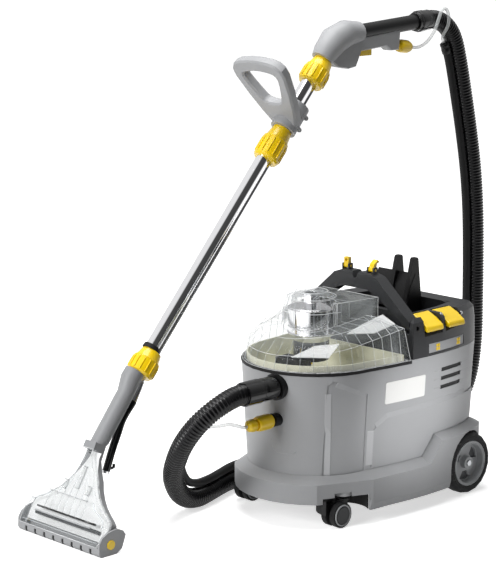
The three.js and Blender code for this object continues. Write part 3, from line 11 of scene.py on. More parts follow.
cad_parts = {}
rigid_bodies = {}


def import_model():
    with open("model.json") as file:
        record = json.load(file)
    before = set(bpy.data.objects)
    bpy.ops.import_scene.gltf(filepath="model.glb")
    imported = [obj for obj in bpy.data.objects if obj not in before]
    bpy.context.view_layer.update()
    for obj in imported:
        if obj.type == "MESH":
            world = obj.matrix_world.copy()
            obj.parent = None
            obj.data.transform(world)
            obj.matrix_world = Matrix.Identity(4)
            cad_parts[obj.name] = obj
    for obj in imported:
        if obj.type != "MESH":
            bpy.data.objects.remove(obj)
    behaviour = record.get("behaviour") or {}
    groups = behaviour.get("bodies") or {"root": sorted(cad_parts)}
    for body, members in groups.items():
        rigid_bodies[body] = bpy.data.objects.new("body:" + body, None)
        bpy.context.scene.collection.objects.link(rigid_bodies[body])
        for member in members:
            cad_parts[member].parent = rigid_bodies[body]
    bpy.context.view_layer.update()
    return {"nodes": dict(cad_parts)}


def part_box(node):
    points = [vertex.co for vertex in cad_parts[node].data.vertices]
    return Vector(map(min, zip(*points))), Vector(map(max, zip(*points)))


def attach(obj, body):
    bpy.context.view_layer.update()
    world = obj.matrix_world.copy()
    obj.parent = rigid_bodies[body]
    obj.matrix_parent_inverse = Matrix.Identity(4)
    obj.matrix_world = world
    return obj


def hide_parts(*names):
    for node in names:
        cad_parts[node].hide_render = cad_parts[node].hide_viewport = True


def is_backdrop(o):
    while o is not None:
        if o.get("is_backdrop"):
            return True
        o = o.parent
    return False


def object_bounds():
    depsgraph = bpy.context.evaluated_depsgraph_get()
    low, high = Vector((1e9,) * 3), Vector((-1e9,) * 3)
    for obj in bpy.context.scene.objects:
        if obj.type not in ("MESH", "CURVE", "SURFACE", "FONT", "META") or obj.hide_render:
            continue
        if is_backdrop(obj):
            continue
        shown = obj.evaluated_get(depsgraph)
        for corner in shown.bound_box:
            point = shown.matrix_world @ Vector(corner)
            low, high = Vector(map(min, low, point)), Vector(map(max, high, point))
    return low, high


for old in list(bpy.data.objects):
    bpy.data.objects.remove(old)
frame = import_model()
nodes = frame["nodes"]

# ---- driving numbers, millimetres in the machine's frame ------------------------------------
SHIFT_X = 87  # from the machine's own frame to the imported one
SHIFT_Y = -60
MM = 0.001
FAR = 400  # casts start this far out, clear of the machine
SIDES = ((-1, "near"), (1, "far"))
NOSE_X = -93  # middle of the housing's round nose
DOME_X = -105  # middle of the lid's dome and of the chamber in it
DECK_FRONT_X, DECK_LENGTH = -237, 247  # the lid's sloping deck
DECK_LOW, DECK_HIGH = 352, 390
REAR_AXLE_X, REAR_AXLE_Z = 190, 62
CASTER_X, CASTER_Y, CASTER_Z = -157, 120, 25
STEM_X = -140  # axis of the casters' swing


def place(x, y, z):
    return Vector(((x + SHIFT_X) * MM, (y + SHIFT_Y) * MM, z * MM))


def machine_mm(spot):
    """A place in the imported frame, back in the machine's own millimetres."""
    return (spot - place(0, 0, 0)) / MM


# ---- camera: the photograph's viewing angle -------------------------------------------------
CAMERA_AZIMUTH = -44.05
CAMERA_HEIGHT = 11.42
CAMERA_DISTANCE = 3684.66
CAMERA_TARGET = (-375.91, -104.08, 500)
FOCAL_PX = 2053.91
LONG_SIDE_PX = 568
SENSOR = 36.0


def make_camera():
    azimuth, height = math.radians(CAMERA_AZIMUTH), math.radians(CAMERA_HEIGHT)
    back = Vector((
        math.sin(azimuth) * math.cos(height),
        -math.cos(azimuth) * math.cos(height),
        math.sin(height),
    ))
    data = bpy.data.cameras.new("camera")
    data.sensor_width = SENSOR
    data.lens = FOCAL_PX * SENSOR / LONG_SIDE_PX
    data.clip_end = 50
    camera = bpy.data.objects.new("camera", data)
    camera.location = place(*CAMERA_TARGET) + back * CAMERA_DISTANCE * MM
    camera.rotation_mode = "QUATERNION"
    camera.rotation_quaternion = (-back).to_track_quat("-Z", "Y")
    bpy.context.collection.objects.link(camera)
    bpy.context.scene.camera = camera


make_camera()

# ---- curves ---------------------------------------------------------------------------------
STRETCH_STEPS = 24


def smooth_line(points):
    """Centripetal Catmull-Rom through the points, STRETCH_STEPS samples to each stretch."""
    points = [Vector(p) for p in points]
    first = points[0] * 2 - points[1]
    last = points[-1] * 2 - points[-2]
    padded = [first, *points, last]
    line = []
    for k in range(len(points) - 1):
        p0, p1, p2, p3 = padded[k : k + 4]
        gap0, gap1, gap2 = ((b - a).length ** 0.5 for a, b in ((p0, p1), (p1, p2), (p2, p3)))
        slope1 = ((p1 - p0) / gap0 - (p2 - p0) / (gap0 + gap1) + (p2 - p1) / gap1) * gap1
        slope2 = ((p2 - p1) / gap1 - (p3 - p1) / (gap1 + gap2) + (p3 - p2) / gap2) * gap1
        for j in range(STRETCH_STEPS):
            t = j / STRETCH_STEPS
            line.append(
                p1
                + slope1 * t
                + (3 * (p2 - p1) - 2 * slope1 - slope2) * t * t
                + (2 * (p1 - p2) + slope1 + slope2) * t ** 3
            )
    line.append(points[-1])
    return line


def line_length(line):
    return sum((b - a).length for a, b in zip(line, line[1:]))


def even(line, count):
    """The line again, as count equal steps."""
    total = line_length(line)
    wanted = [total * k / count for k in range(count + 1)]
    out, run, k = [], 0.0, 0
    for a, b in zip(line, line[1:]):
        step = (b - a).length
        while k <= count and wanted[k] <= run + step + 1e-9:
            out.append(a.lerp(b, (wanted[k] - run) / step if step else 0))
            k += 1
        run += step
    while len(out) <= count:
        out.append(line[-1].copy())
    return out


def tangents(line):
    out = []
    for k in range(len(line)):
        out.append((line[min(k + 1, len(line) - 1)] - line[max(k - 1, 0)]).normalized())
    return out


def tube(name, line, radii, sides, inner=None):
    """A tube along the line, one radius to each point; inner gives its bore, or it is solid."""
    mesh = bpy.data.meshes.new(name)
    work = bmesh.new()
    uv = work.loops.layers.uv.new("along")
    along = tangents(line)
    side = along[0].orthogonal().normalized()
    rings = []
    for point, direction, radius in zip(line, along, radii):
        side = (side - direction * side.dot(direction)).normalized()
        other = direction.cross(side)
        ring = []
        for k in range(sides):
            turn = 2 * math.pi * k / sides
            out = side * math.cos(turn) + other * math.sin(turn)
            ring.append(work.verts.new(point + out * radius))
        rings.append(ring)
    run = 0.0
    for k in range(len(rings) - 1):
        step = (line[k + 1] - line[k]).length
        for j in range(sides):
            n = (j + 1) % sides
            face = work.faces.new((rings[k][j], rings[k][n], rings[k + 1][n], rings[k + 1][j]))
            face.smooth = True
            for loop, (u, v) in zip(face.loops, ((j, 0), (j + 1, 0), (j + 1, 1), (j, 1))):
                loop[uv].uv = (u / sides, run + v * step)
        run += step
    for index, sign in ((0, -1), (-1, 1)):
        rim = rings[index]
        if inner:
            centre = line[index]
            mouth = [work.verts.new(centre + (v.co - centre).normalized() * inner) for v in rim]
            deep = line[1] if index == 0 else line[-2]
            depth = [work.verts.new(v.co + (deep - centre)) for v in mouth]
            for a, b in ((rim, mouth), (mouth, depth)):
                for j in range(sides):
                    n = (j + 1) % sides
                    quad = (a[j], b[j], b[n], a[n])
                    work.faces.new(quad if sign < 0 else tuple(reversed(quad)))
            work.faces.new(tuple(reversed(depth)) if sign < 0 else tuple(depth))
        else:
            work.faces.new(tuple(reversed(rim)) if sign < 0 else tuple(rim))
    work.to_mesh(mesh)
    work.free()
    piece = bpy.data.objects.new(name, mesh)
    bpy.context.collection.objects.link(piece)
    return piece


# ---- cords: the hose, its spray line and the clear tubes ------------------------------------
HOSE_ROUTE = [
    (-280, -30, 271), (-300, -30, 271), (-320, -30, 271), (-336.4, -29.4, 269.9),
    (-361.9, -25.9, 261.9), (-385.3, -16.8, 247), (-402.3, -3.2, 227.4), (-411.3, 13.1, 204.8),
    (-413, 34.5, 175.9), (-404, 62, 139), (-384, 92, 103), (-357, 116, 71), (-327, 134, 43.5),
    (-297, 145, 27), (-266, 151, 21), (-232, 161, 21), (-190, 176, 21), (-146, 189, 21),
    (-63.1, 197, 21), (36.2, 197.6, 21), (144.5, 197.2, 21), (252.9, 196.3, 21),
    (356.7, 192.3, 21), (449.1, 187.4, 21.5), (498, 185.3, 29.3), (535.7, 184.3, 44),
    (560.3, 183.6, 63.7), (583.8, 183.1, 96.7), (597, 182.6, 132.6), (605.5, 181.9, 197.5),
    (606, 182, 287.7), (604.2, 182, 393.8), (599.4, 182, 493), (589.1, 182, 580.4),
    (572, 182, 666.7), (552, 182, 750), (533, 182, 822), (518.2, 182, 865.4),
    (505.1, 182, 886.8), (486.3, 182, 903.5), (463.4, 182, 913.9), (438, 182, 917.2),
    (418, 182, 915.8), (398, 182, 914.5),
]
TUBE_MACHINE = [
    (-307.4, -30, 207), (-316, -30, 207), (-326, -26, 211), (-338, -14, 214), (-352, 2, 210),
]
TUBE_GRIP = [
    (378.2, 182, 861.8), (386, 182, 860.8), (399, 178, 861), (413, 169, 871), (424, 158, 893),
    (432, 153, 918), (441, 152, 937), (454, 152, 940), (464, 153, 927), (469, 157, 907),
    (471, 167, 891),
]
HOSE_R = 20
HOSE_BORE_R = 15
HOSE_PITCH = 6.6  # from one rib to the next
RIB_DEPTH = 1.9
SHEATH_R = 8
SHEATH_CLEAR = 2
CLEAR_TUBE_R = 3.5
CLEAR_TUBE_WALL = 1.1
LOOP_MIDDLE = (100, 182, 450)
SHEATH_SPAN = (0.085, 0.945)  # from and to this share of the hose's length
SHEATH_POINTS = 44
SHEATH_STEPS = 420
CLEAR_TUBE_STEPS = 80
SLEEVE_BORE_R = 4.2
SLEEVE_PROFILE = (  # (distance from the sheath's mouth, radius)
    (-3, 5.4), (-2, 7), (0, 9.6), (5, 9.6), (6, 9.1), (11, 9.1), (12, 9.6), (22, 9.6), (23, 8.4),
)


def in_frame(line):
    return [place(*p) for p in line]


hose_line = smooth_line(HOSE_ROUTE)
hose_total = line_length(hose_line)


def make_hose():
    ribs = round(hose_total / HOSE_PITCH)
    # how far below its crest the hose's outline lies, step by step from one rib to the next
    shape = (RIB_DEPTH, RIB_DEPTH * 0.6, 0.25, 0, 0.25, RIB_DEPTH * 0.6)
    steps = ribs * len(shape)
    line = even(hose_line, steps)
    radii = [(HOSE_R - shape[k % len(shape)]) * MM for k in range(steps + 1)]
    hose = tube("suction_hose_ribbed", in_frame(line), radii, 32, inner=HOSE_BORE_R * MM)
    path = in_frame(even(hose_line, 400))
    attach(hose, "machine")
    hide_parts("suction_hose")
    return hose


def sheath_route():
    """The spray line's sheath runs along the inner side of the hose's bends."""
    count = 2000
    line = even(hose_line, count)
    along = tangents(line)
    points = []
    for k in range(SHEATH_POINTS + 1):
        u = SHEATH_SPAN[0] + (SHEATH_SPAN[1] - SHEATH_SPAN[0]) * k / SHEATH_POINTS
        index = round(u * count)
        inward = Vector(LOOP_MIDDLE) - line[index]
        inward = (inward - along[index] * inward.dot(along[index])).normalized()
        points.append(line[index] + inward * (HOSE_R + SHEATH_R + SHEATH_CLEAR))
    return smooth_line(points)


sheath_line = sheath_route()


def sheath_sleeve(name, at_end):
    """Crimped sleeve over one end of the sheath, where the clear tube goes in."""
    line = sheath_line[::-1] if at_end else sheath_line
    mouth, inward = line[0], (line[4] - line[0]).normalized()
    points = [place(*(mouth + inward * reach)) for reach, _ in SLEEVE_PROFILE]
    radii = [radius * MM for _, radius in SLEEVE_PROFILE]
    piece = tube(name, points, radii, 28, inner=SLEEVE_BORE_R * MM)
    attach(piece, "machine")
    return piece


sleeve_machine = sheath_sleeve("sheath_sleeve_machine", False)
sleeve_grip = sheath_sleeve("sheath_sleeve_grip", True)


def make_sheath():
    path = in_frame(even(sheath_line, SHEATH_STEPS))
    radii = [SHEATH_R * MM] * (SHEATH_STEPS + 1)
    sheath = tube("spray_line_sheath", path, radii, 20)
    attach(sheath, "machine")
    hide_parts("hose_sheath")
    return sheath


def clear_tube(name, node, route, at_end):
    mouth = sheath_line[-1] if at_end else sheath_line[0]
    along = tangents(sheath_line)[-1 if at_end else 0] * (1 if at_end else -1)
    points = [Vector(p) for p in route] + [mouth + along * reach for reach in (14, 0.5)]
    line = smooth_line(points)
    path = in_frame(even(line, CLEAR_TUBE_STEPS))
    radii = [CLEAR_TUBE_R * MM] * (CLEAR_TUBE_STEPS + 1)
    piece = tube(name, path, radii, 20, inner=(CLEAR_TUBE_R - CLEAR_TUBE_WALL) * MM)
    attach(piece, "machine")
    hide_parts(node)
    return piece


hose = make_hose()
sheath = make_sheath()
tube_machine = clear_tube("clear_tube_machine", "spray_tube_machine", TUBE_MACHINE, False)
tube_grip = clear_tube("clear_tube_grip", "spray_tube_grip", TUBE_GRIP, True)

# ---- materials ------------------------------------------------------------------------------
MIX_A, MIX_B, MIX_OUT = 6, 7, 2  # colour sockets of a mix node
IOR = 1.46


def linear(value):
    return value / 12.92 if value <= 0.04045 else ((value + 0.055) / 1.055) ** 2.4


def colour(hexa):
    return tuple(linear(int(hexa[k : k + 2], 16) / 255) for k in (0, 2, 4)) + (1.0,)


def grey(value):
    return (value, value, value, 1)


def add(tree, kind, values=(), **settings):
    """A new shader node with its settings and the values of its input sockets."""
    made = tree.nodes.new("ShaderNode" + kind)
    for key, value in settings.items():
        setattr(made, key, value)
    for socket, value in dict(values).items():
        made.inputs[socket].default_value = value
    return made


def empty_tree(owner):
    """The node tree of a material or world, without its first nodes."""
    owner.use_nodes = True
    owner.node_tree.nodes.clear()
    return owner.node_tree


def material(
    name, hexa, roughness, metallic=0.0, grain=0.0, grain_mm=0.5, tone=0.08, tone_mm=45,
    streak=(1, 1, 1), coat=0.0, alpha=1.0, edge_alpha=None, scuff=0.0, shine=0.5,
):
    """Principled surface with moulded grain, slow changes of tone and gloss, and fine scuffs."""
    made = bpy.data.materials.new(name)
    tree = empty_tree(made)
    link = tree.links.new
    out = add(tree, "OutputMaterial")
    shader = add(tree, "BsdfPrincipled", {
        "Metallic": metallic, "IOR": IOR, "Specular IOR Level": shine,
        "Coat Weight": coat, "Coat Roughness": 0.12,
    })
    link(shader.outputs[0], out.inputs[0])
    spot = add(tree, "TexCoord")
    spread = add(tree, "Mapping", {"Scale": streak})
    link(spot.outputs["Object"], spread.inputs["Vector"])
    slow = add(tree, "TexNoise", {"Scale": 1000 / tone_mm, "Detail": 6, "Roughness": 0.6})
    link(spread.outputs[0], slow.inputs["Vector"])
    base = colour(hexa)
    darker = tuple(c * (1 - tone) for c in base[:3]) + (1,)
    lighter = tuple(min(1, c * (1 + tone)) for c in base[:3]) + (1,)
    ramp = add(tree, "Mix", {MIX_A: darker, MIX_B: lighter}, data_type="RGBA")
    link(slow.outputs["Fac"], ramp.inputs[0])
    colour_out = ramp.outputs[MIX_OUT]
    dull, gloss = min(1, roughness * 1.18), max(0.02, roughness * 0.82)
    rough = add(tree, "MapRange", {"To Min": gloss, "To Max": dull})
    link(slow.outputs["Fac"], rough.inputs["Value"])
    link(rough.outputs[0], shader.inputs["Roughness"])
    if scuff:
        lines = add(tree, "TexNoise", {"Scale": 120, "Detail": 2})
        stretch = add(tree, "Mapping", {"Scale": (0.25, 1, 4)})
        link(spot.outputs["Object"], stretch.inputs["Vector"])
        link(stretch.outputs[0], lines.inputs["Vector"])
        mask = add(tree, "MapRange", {"From Min": 0.62, "From Max": 0.72, "To Max": scuff})
        link(lines.outputs["Fac"], mask.inputs["Value"])
        paler = add(tree, "Mix", {MIX_B: (0.75, 0.75, 0.74, 1)}, data_type="RGBA")
        link(mask.outputs[0], paler.inputs[0])
        link(colour_out, paler.inputs[MIX_A])
        colour_out = paler.outputs[MIX_OUT]
    link(colour_out, shader.inputs["Base Color"])
    if grain:
        fine = add(tree, "TexNoise", {"Scale": 1000 / grain_mm, "Detail": 2})
        link(spot.outputs["Object"], fine.inputs["Vector"])
        bump = add(tree, "Bump", {"Strength": grain, "Distance": 0.0002})
        link(fine.outputs["Fac"], bump.inputs["Height"])
        link(bump.outputs[0], shader.inputs["Normal"])
    if edge_alpha is None:
        shader.inputs["Alpha"].default_value = alpha
    else:
        facing = add(tree, "LayerWeight", {"Blend": 0.3})
        clear = add(tree, "MapRange", {"To Min": alpha, "To Max": edge_alpha})
        link(facing.outputs["Facing"], clear.inputs["Value"])
        link(clear.outputs[0], shader.inputs["Alpha"])
    return made


GREY = material(
    "grey_moulding", "a1a2a4", 0.46, grain=0.35, grain_mm=0.9, tone=0.035, scuff=0.02, shine=0.4)
DARK_GREY = material(
    "dark_grey_moulding", "9e9fa1", 0.5, grain=0.4, grain_mm=0.9, tone=0.04, shine=0.4)
# dark grey plate seen through the hub's windows: painted shade
HUB_BACK_SHADE = material("hub_back_painted_shade", "5c5d5f", 0.5, grain=0.3, grain_mm=0.9, tone=0.05)
# paler grey for the upright sloping edges: a painted highlight
EDGE_HIGHLIGHT_GREY = material(
    "edge_painted_highlight_grey", "b9babc", 0.4, grain=0.3, grain_mm=0.9, tone=0.03, shine=0.4)
NECK_GREY = material(
    "neck_grey_moulding", "929395", 0.42, grain=0.3, grain_mm=0.9, tone=0.04, shine=0.4)
CHARCOAL = material(
    "charcoal_moulding", "2b2c2e", 0.42, grain=0.4, grain_mm=0.8, tone=0.06, shine=0.3)
BLACK = material(
    "black_moulding", "141415", 0.36, grain=0.25, grain_mm=0.7, tone=0.1, shine=0.25)
GLOSS_BLACK = material("black_gloss", "0d0d0e", 0.14, grain=0.05, tone=0.1, coat=0.3, shine=0.3)
HOSE = material(
    "hose_black", "08080a", 0.26, grain=0.2, grain_mm=0.6, tone=0.12, tone_mm=20, shine=0.3)
TYRE = material(
    "tyre_rubber", "262627", 0.7, grain=0.6, grain_mm=0.8, tone=0.12, scuff=0.06, shine=0.25)
RUBBER = material("rubber", "1a1a1b", 0.65, grain=0.4, grain_mm=0.6, tone=0.1, shine=0.25)
YELLOW = material(
    "yellow_moulding", "f6cf05", 0.32, grain=0.15, grain_mm=0.8, tone=0.04, coat=0.25)
PALE_GREY = material("pale_grey_moulding", "acaeb0", 0.45, grain=0.3, tone=0.04)
CREAM = material("cream_moulding", "eae9d2", 0.5, grain=0.2, tone=0.03)
WHITE = material("white_plate", "e6e6e4", 0.35, grain=0.05, tone=0.01)
CHROME = material("chrome", "e4e4e6", 0.07, metallic=1, tone=0.03, tone_mm=30)
STEEL = material(
    "zinc_steel", "a9abad", 0.3, metallic=1, grain=0.15, tone=0.08, streak=(1, 1, 8))
CAST = material(
    "cast_aluminium", "a5a6a8", 0.5, metallic=1, grain=0.8, grain_mm=1.2, tone=0.06)
CLEAR = material("clear_moulding", "a9aeb0", 0.06, tone=0.01, alpha=0.035, edge_alpha=0.3)
# near-white, more opaque clear for bars on the creases and lines: a painted highlight
CLEAR_EDGE_HIGHLIGHT = material("clear_edge_painted_highlight", "f6f8f9", 0.1, tone=0.01, alpha=0.62)
# paler, more opaque clear for the ribs: real ribs, their whiteness partly a painted highlight
CLEAR_RIB_HIGHLIGHT = material("clear_rib_painted_highlight", "e9eef0", 0.1, tone=0.01, alpha=0.30, edge_alpha=0.6)
CLEAR_HOSE = material("clear_hose", "dfe2e2", 0.12, tone=0.02, alpha=0.35, edge_alpha=0.9)
FROSTED = material("frosted_moulding", "f3f4f4", 0.45, grain=0.4, tone=0.02, alpha=0.62)
LINER = material("pale_liner", "f1f2f2", 0.4, grain=0.2, tone=0.012)
# near-black painted shade, for slots, notches and wells
SHADOW = material("painted_shade_recess", "0c0c0d", 0.7, grain=0.2, tone=0.1)

# ---- CAD nodes that stay: softened edges and their own finish ---------------------------------
SHARP_DEGREES = 32  # edges bent by more than this are rounded
SHARP_DEGREES_CHASSIS = 15


def soften(node, finish, radius, limit):
    """Welds the imported faces, rounds the sharp edges and shades the rest smooth."""
    piece = nodes[node]
    for unwanted in ("custom_normal", "sharp_edge", "sharp_face"):
        if unwanted in piece.data.attributes:
            piece.data.attributes.remove(piece.data.attributes[unwanted])
    piece.data.polygons.foreach_set("use_smooth", [True] * len(piece.data.polygons))
    weld = piece.modifiers.new("weld", "WELD")
    weld.merge_threshold = 0.00002
    flat = piece.modifiers.new("flat", "DECIMATE")
    flat.decimate_type = "DISSOLVE"
    flat.angle_limit = math.radians(1.2)
    if radius:
        bevel = piece.modifiers.new("round", "BEVEL")
        bevel.width = radius * MM
        bevel.segments = 2
        bevel.limit_method = "ANGLE"
        bevel.angle_limit = math.radians(limit)
        bevel.use_clamp_overlap = True
        bevel.miter_outer = "MITER_ARC"
    normal = piece.modifiers.new("normal", "WEIGHTED_NORMAL")
    normal.weight = 60
    for slot in piece.material_slots:
        slot.material = finish


FINISHES = {
    "chassis": (DARK_GREY, 1.6), "main_housing": (GREY, 1.4), "rear_axle": (STEEL, 0.6),
    "rear_tyre_near": (TYRE, 2.5), "rear_tyre_far": (TYRE, 2.5),
    "rear_hub_near": (PALE_GREY, 1.0), "rear_hub_far": (PALE_GREY, 1.0),
    "caster_fork_near": (BLACK, 1.2), "caster_fork_far": (BLACK, 1.2),
    "caster_wheels_near": (RUBBER, 1.2), "caster_wheels_far": (RUBBER, 1.2),
    "lid_seal": (RUBBER, 0.8), "dirty_water_tank": (CREAM, 0.8), "tank_lid": (CLEAR, 0.0),
    "cut_off_chamber": (CHROME, 0.8), "filter_basket": (GLOSS_BLACK, 0.5),
    "float_valve": (YELLOW, 0.8), "fluff_filter": (GLOSS_BLACK, 0.6),
    "control_panel": (CHARCOAL, 1.6), "indicator_strip": (DARK_GREY, 0.4),
    "vacuum_switch": (YELLOW, 2.6), "pump_switch": (YELLOW, 2.6),
    "carry_handle": (CHARCOAL, 2.2), "cable_hook_near": (YELLOW, 1.0),
    "cable_hook_far": (YELLOW, 1.0), "tool_holder": (BLACK, 1.5),
    "vacuum_motor": (CAST, 1.0), "spray_pump": (BLACK, 1.0), "battery_pack": (CHARCOAL, 2.0),
    "suction_port": (BLACK, 0.8), "machine_cuff": (GLOSS_BLACK, 1.0),
    "spray_port": (BLACK, 0.6), "spray_nipple": (YELLOW, 0.5), "coupling_sleeve": (YELLOW, 0.8),
    "lower_tube": (CHROME, 0.3), "upper_tube": (CHROME, 0.3), "spray_line": (CHROME, 0.3),
    "tube_seal": (RUBBER, 0.5), "lower_collar": (YELLOW, 1.2), "middle_collar": (YELLOW, 1.2),
    "upper_collar": (YELLOW, 1.2), "second_handle": (GREY, 2.6), "handle_clamp": (GREY, 1.5),
    "clamp_screw_lower": (STEEL, 0.3), "clamp_screw_upper": (STEEL, 0.3),
    "grip_body": (GREY, 1.8), "grip_tube": (BLACK, 0.8), "spray_trigger": (YELLOW, 1.2),
    "grip_cuff": (GLOSS_BLACK, 1.0), "grip_coupling": (YELLOW, 1.0),
    "nozzle_body": (NECK_GREY, 1.2), "nozzle_cover": (CLEAR, 0.0), "spray_bar": (CHARCOAL, 0.8),
    "nozzle_shoe": (DARK_GREY, 1.2), "end_button_near": (YELLOW, 0.8),
    "end_button_far": (YELLOW, 0.8),
}
for name, (finish, radius) in FINISHES.items():
    soften(name, finish, radius, SHARP_DEGREES_CHASSIS if name == "chassis" else SHARP_DEGREES)
for piece, finish in (
    (hose, HOSE), (sheath, RUBBER), (tube_machine, CLEAR_HOSE), (tube_grip, CLEAR_HOSE),
    (sleeve_machine, BLACK), (sleeve_grip, BLACK),
):
    piece.data.materials.append(finish)

# ---- details on the CAD bodies ----------------------------------------------------------------
skins = {}


def cast(node, start, aim):
    """Where a line from start to aim (machine mm) first meets a CAD node, and the normal there."""
    if node not in skins:
        piece = nodes[node]
        corners = [piece.matrix_world @ v.co for v in piece.data.vertices]
        skins[node] = BVHTree.FromPolygons(corners, [list(f.vertices) for f in piece.data.polygons])
    begin, end = place(*start), place(*aim)
    spot, normal, _, _ = skins[node].ray_cast(begin, (end - begin).normalized())
    if spot is None:
        raise ValueError(f"{node}: nothing met from {start}")
    return machine_mm(spot), normal


def from_side(node, side, x, z):
    """Where a level line from far out on one side first meets a CAD node."""
    return cast(node, (x, side * FAR, z), (x, 0, z))[0]


def mesh_piece(name, body, corners, faces, finish, smooth=False, bevel=0.0):
    """A closed mesh from corners in machine mm that rides on a body."""
    mesh = bpy.data.meshes.new(name)
    mesh.from_pydata([place(*c) for c in corners], [], faces)
    mesh.polygons.foreach_set("use_smooth", [smooth] * len(mesh.polygons))
    work = bmesh.new()
    work.from_mesh(mesh)
    bmesh.ops.recalc_face_normals(work, faces=work.faces)
    work.to_mesh(mesh)
    work.free()
    piece = bpy.data.objects.new(name, mesh)
    bpy.context.collection.objects.link(piece)
    piece.data.materials.append(finish)
    if bevel:
        edge = piece.modifiers.new("round", "BEVEL")
        edge.width = bevel * MM
        edge.segments = 2
        edge.limit_method = "ANGLE"
        edge.angle_limit = math.radians(35)
        edge.use_clamp_overlap = True
    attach(piece, body)
    return piece


def loft_faces(rings, count):
    """Quads between rings of count corners each, with end faces."""
    faces = []
    for k in range(rings - 1):
        for j in range(count):
            n = (j + 1) % count
            faces.append((k * count + j, k * count + n, (k + 1) * count + n, (k + 1) * count + j))
    faces.append(tuple(range(count))[::-1])
    faces.append(tuple((rings - 1) * count + j for j in range(count)))
    return faces


def wall_faces(rings, count):
    """Closed strip of wall: rings of the same count round it, its two ends capped."""
    faces = []
    for k in range(rings):
        a, b = k * count, (k + 1) % rings * count
        faces += [(a + j, a + j + 1, b + j + 1, b + j) for j in range(count - 1)]
    faces.append(tuple(k * count for k in range(rings))[::-1])
    faces.append(tuple(k * count + count - 1 for k in range(rings)))
    return faces

def bead(name, body, points, radius, finish, sides=8):
    """Round bar of one radius along points in machine mm."""
    line = [place(*p) for p in points]
    piece = tube(name, line, [radius * MM] * len(line), sides)
    piece.data.materials.append(finish)
    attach(piece, body)
    return piece


def across(axis):
    """The axis as a unit vector, and two more square to it."""
    axis = Vector(axis).normalized()
    u = axis.orthogonal().normalized()
    return axis, u, axis.cross(u)


def ring_bead(name, body, middle, axis, ring_r, radius, finish, around=56):
    """Round bar bent to a ring about an axis through middle."""
    axis, u, v = across(axis)
    sides = 8
    corners, faces = [], []
    for k in range(around):
        turn = math.tau * k / around
        out = u * math.cos(turn) + v * math.sin(turn)
        for j in range(sides):
            roll = math.tau * j / sides
            reach, rise = ring_r + radius * math.cos(roll), radius * math.sin(roll)
            corners.append(Vector(middle) + out * reach + axis * rise)
            n, m = (j + 1) % sides, (k + 1) % around
            faces.append((k * sides + j, k * sides + n, m * sides + n, m * sides + j))
    return mesh_piece(name, body, corners, faces, finish, smooth=True)


def block(name, body, low, high, finish, bevel):
    """Box between two corners in machine mm."""
    xs, ys, zs = zip(low, high)
    corners = [(x, y, z) for x in xs for y in ys for z in zs]
    faces = [(0, 1, 3, 2), (4, 6, 7, 5), (0, 4, 5, 1), (2, 3, 7, 6), (0, 2, 6, 4), (1, 5, 7, 3)]
    return mesh_piece(name, body, corners, faces, finish, bevel=bevel)


def disc(name, body, middle, axis, profile, finish, around=48):
    """Turned piece: (distance along the axis, radius) pairs about an axis through middle."""
    axis, u, v = across(axis)
    corners = []
    for reach, radius in profile:
        for k in range(around):
            turn = math.tau * k / around
            out = u * math.cos(turn) + v * math.sin(turn)
            corners.append(Vector(middle) + axis * reach + out * radius)
    faces = loft_faces(len(profile), around)
    return mesh_piece(name, body, corners, faces, finish, bevel=0.3)


# housing: sloping edges of the shoulder and of the raised field, on both sides; the upright ones in
# a paler grey, a painted highlight
EDGE_OVERLAP = 1.2  # how far a wedge runs in over the upper level, and its depth at the foot
EDGE_PROUD = 0.15
EDGE_TOP_DEEP = 3
EDGE_WIDTH = 9
FRONT_EDGE_WIDTH = 13
STRIP_LOW, STRIP_HEIGHT, STRIP_RINGS = 76, 186, 13
# section of the shoulder's strip: turn about the nose in degrees, height over the wall
STRIP_SECTION = ((236.8, 0.7), (231.6, 0.4), (231.6, -1.5), (236.8, -1.5))


def sloping_edge(name, side, edge, outward, width, finish=GREY):
    """Wedge that fills the step between two levels of the housing's wall along an edge (X, Z)."""
    corners = []
    for (x, z), (dx, dz) in zip(edge, outward):
        top = from_side("main_housing", side, x - dx * EDGE_OVERLAP, z - dz * EDGE_OVERLAP)
        foot = from_side("main_housing", side, x + dx * width, z + dz * width)
        for spot, out in (
            (top, EDGE_PROUD), (foot, EDGE_PROUD), (foot, -EDGE_OVERLAP), (top, -EDGE_TOP_DEEP),
        ):
            corners.append((spot.x, spot.y + side * out, spot.z))
    mesh_piece(name, "machine", corners, loft_faces(len(edge), 4), finish, bevel=0.5)


def between(start, end, count):
    (x0, z0), (x1, z1) = start, end
    return [(x0 + (x1 - x0) * k / count, z0 + (z1 - z0) * k / count) for k in range(count + 1)]


for side, tag in SIDES:
    front = between((-78, 109), (-78, 178), 8)
    outward = [(-1, 0)] * len(front)
    sloping_edge(f"field_edge_{tag}", side, front, outward, FRONT_EDGE_WIDTH, EDGE_HIGHLIGHT_GREY)
    top = between((-78, 178), (-44.5, 198), 5)[1:] + between((-44.5, 198), (190, 205), 10)[1:]
    outward = [(-0.35, 0.94)] * 5 + [(0, 1)] * 10
    sloping_edge(f"field_top_{tag}", side, top, outward, EDGE_WIDTH)
    corners = []
    for k in range(STRIP_RINGS):
        z = STRIP_LOW + STRIP_HEIGHT * k / (STRIP_RINGS - 1)
        for turn, reach in STRIP_SECTION:
            turn = math.radians(turn)
            out = Vector((math.cos(turn), -side * math.sin(turn), 0))
            start = (NOSE_X + FAR * out.x, FAR * out.y, z)
            spot, _ = cast("main_housing", start, (NOSE_X, 0, z))
            corners.append(tuple(spot + out * reach))
    faces = loft_faces(STRIP_RINGS, len(STRIP_SECTION))
    mesh_piece(f"shoulder_edge_{tag}", "machine", corners, faces, EDGE_HIGHLIGHT_GREY, bevel=0.4)
    top = between((-97, 253.5), (-160, 283), 8)
    sloping_edge(f"shoulder_top_{tag}", side, top, [(-0.43, -0.9)] * len(top), EDGE_WIDTH)

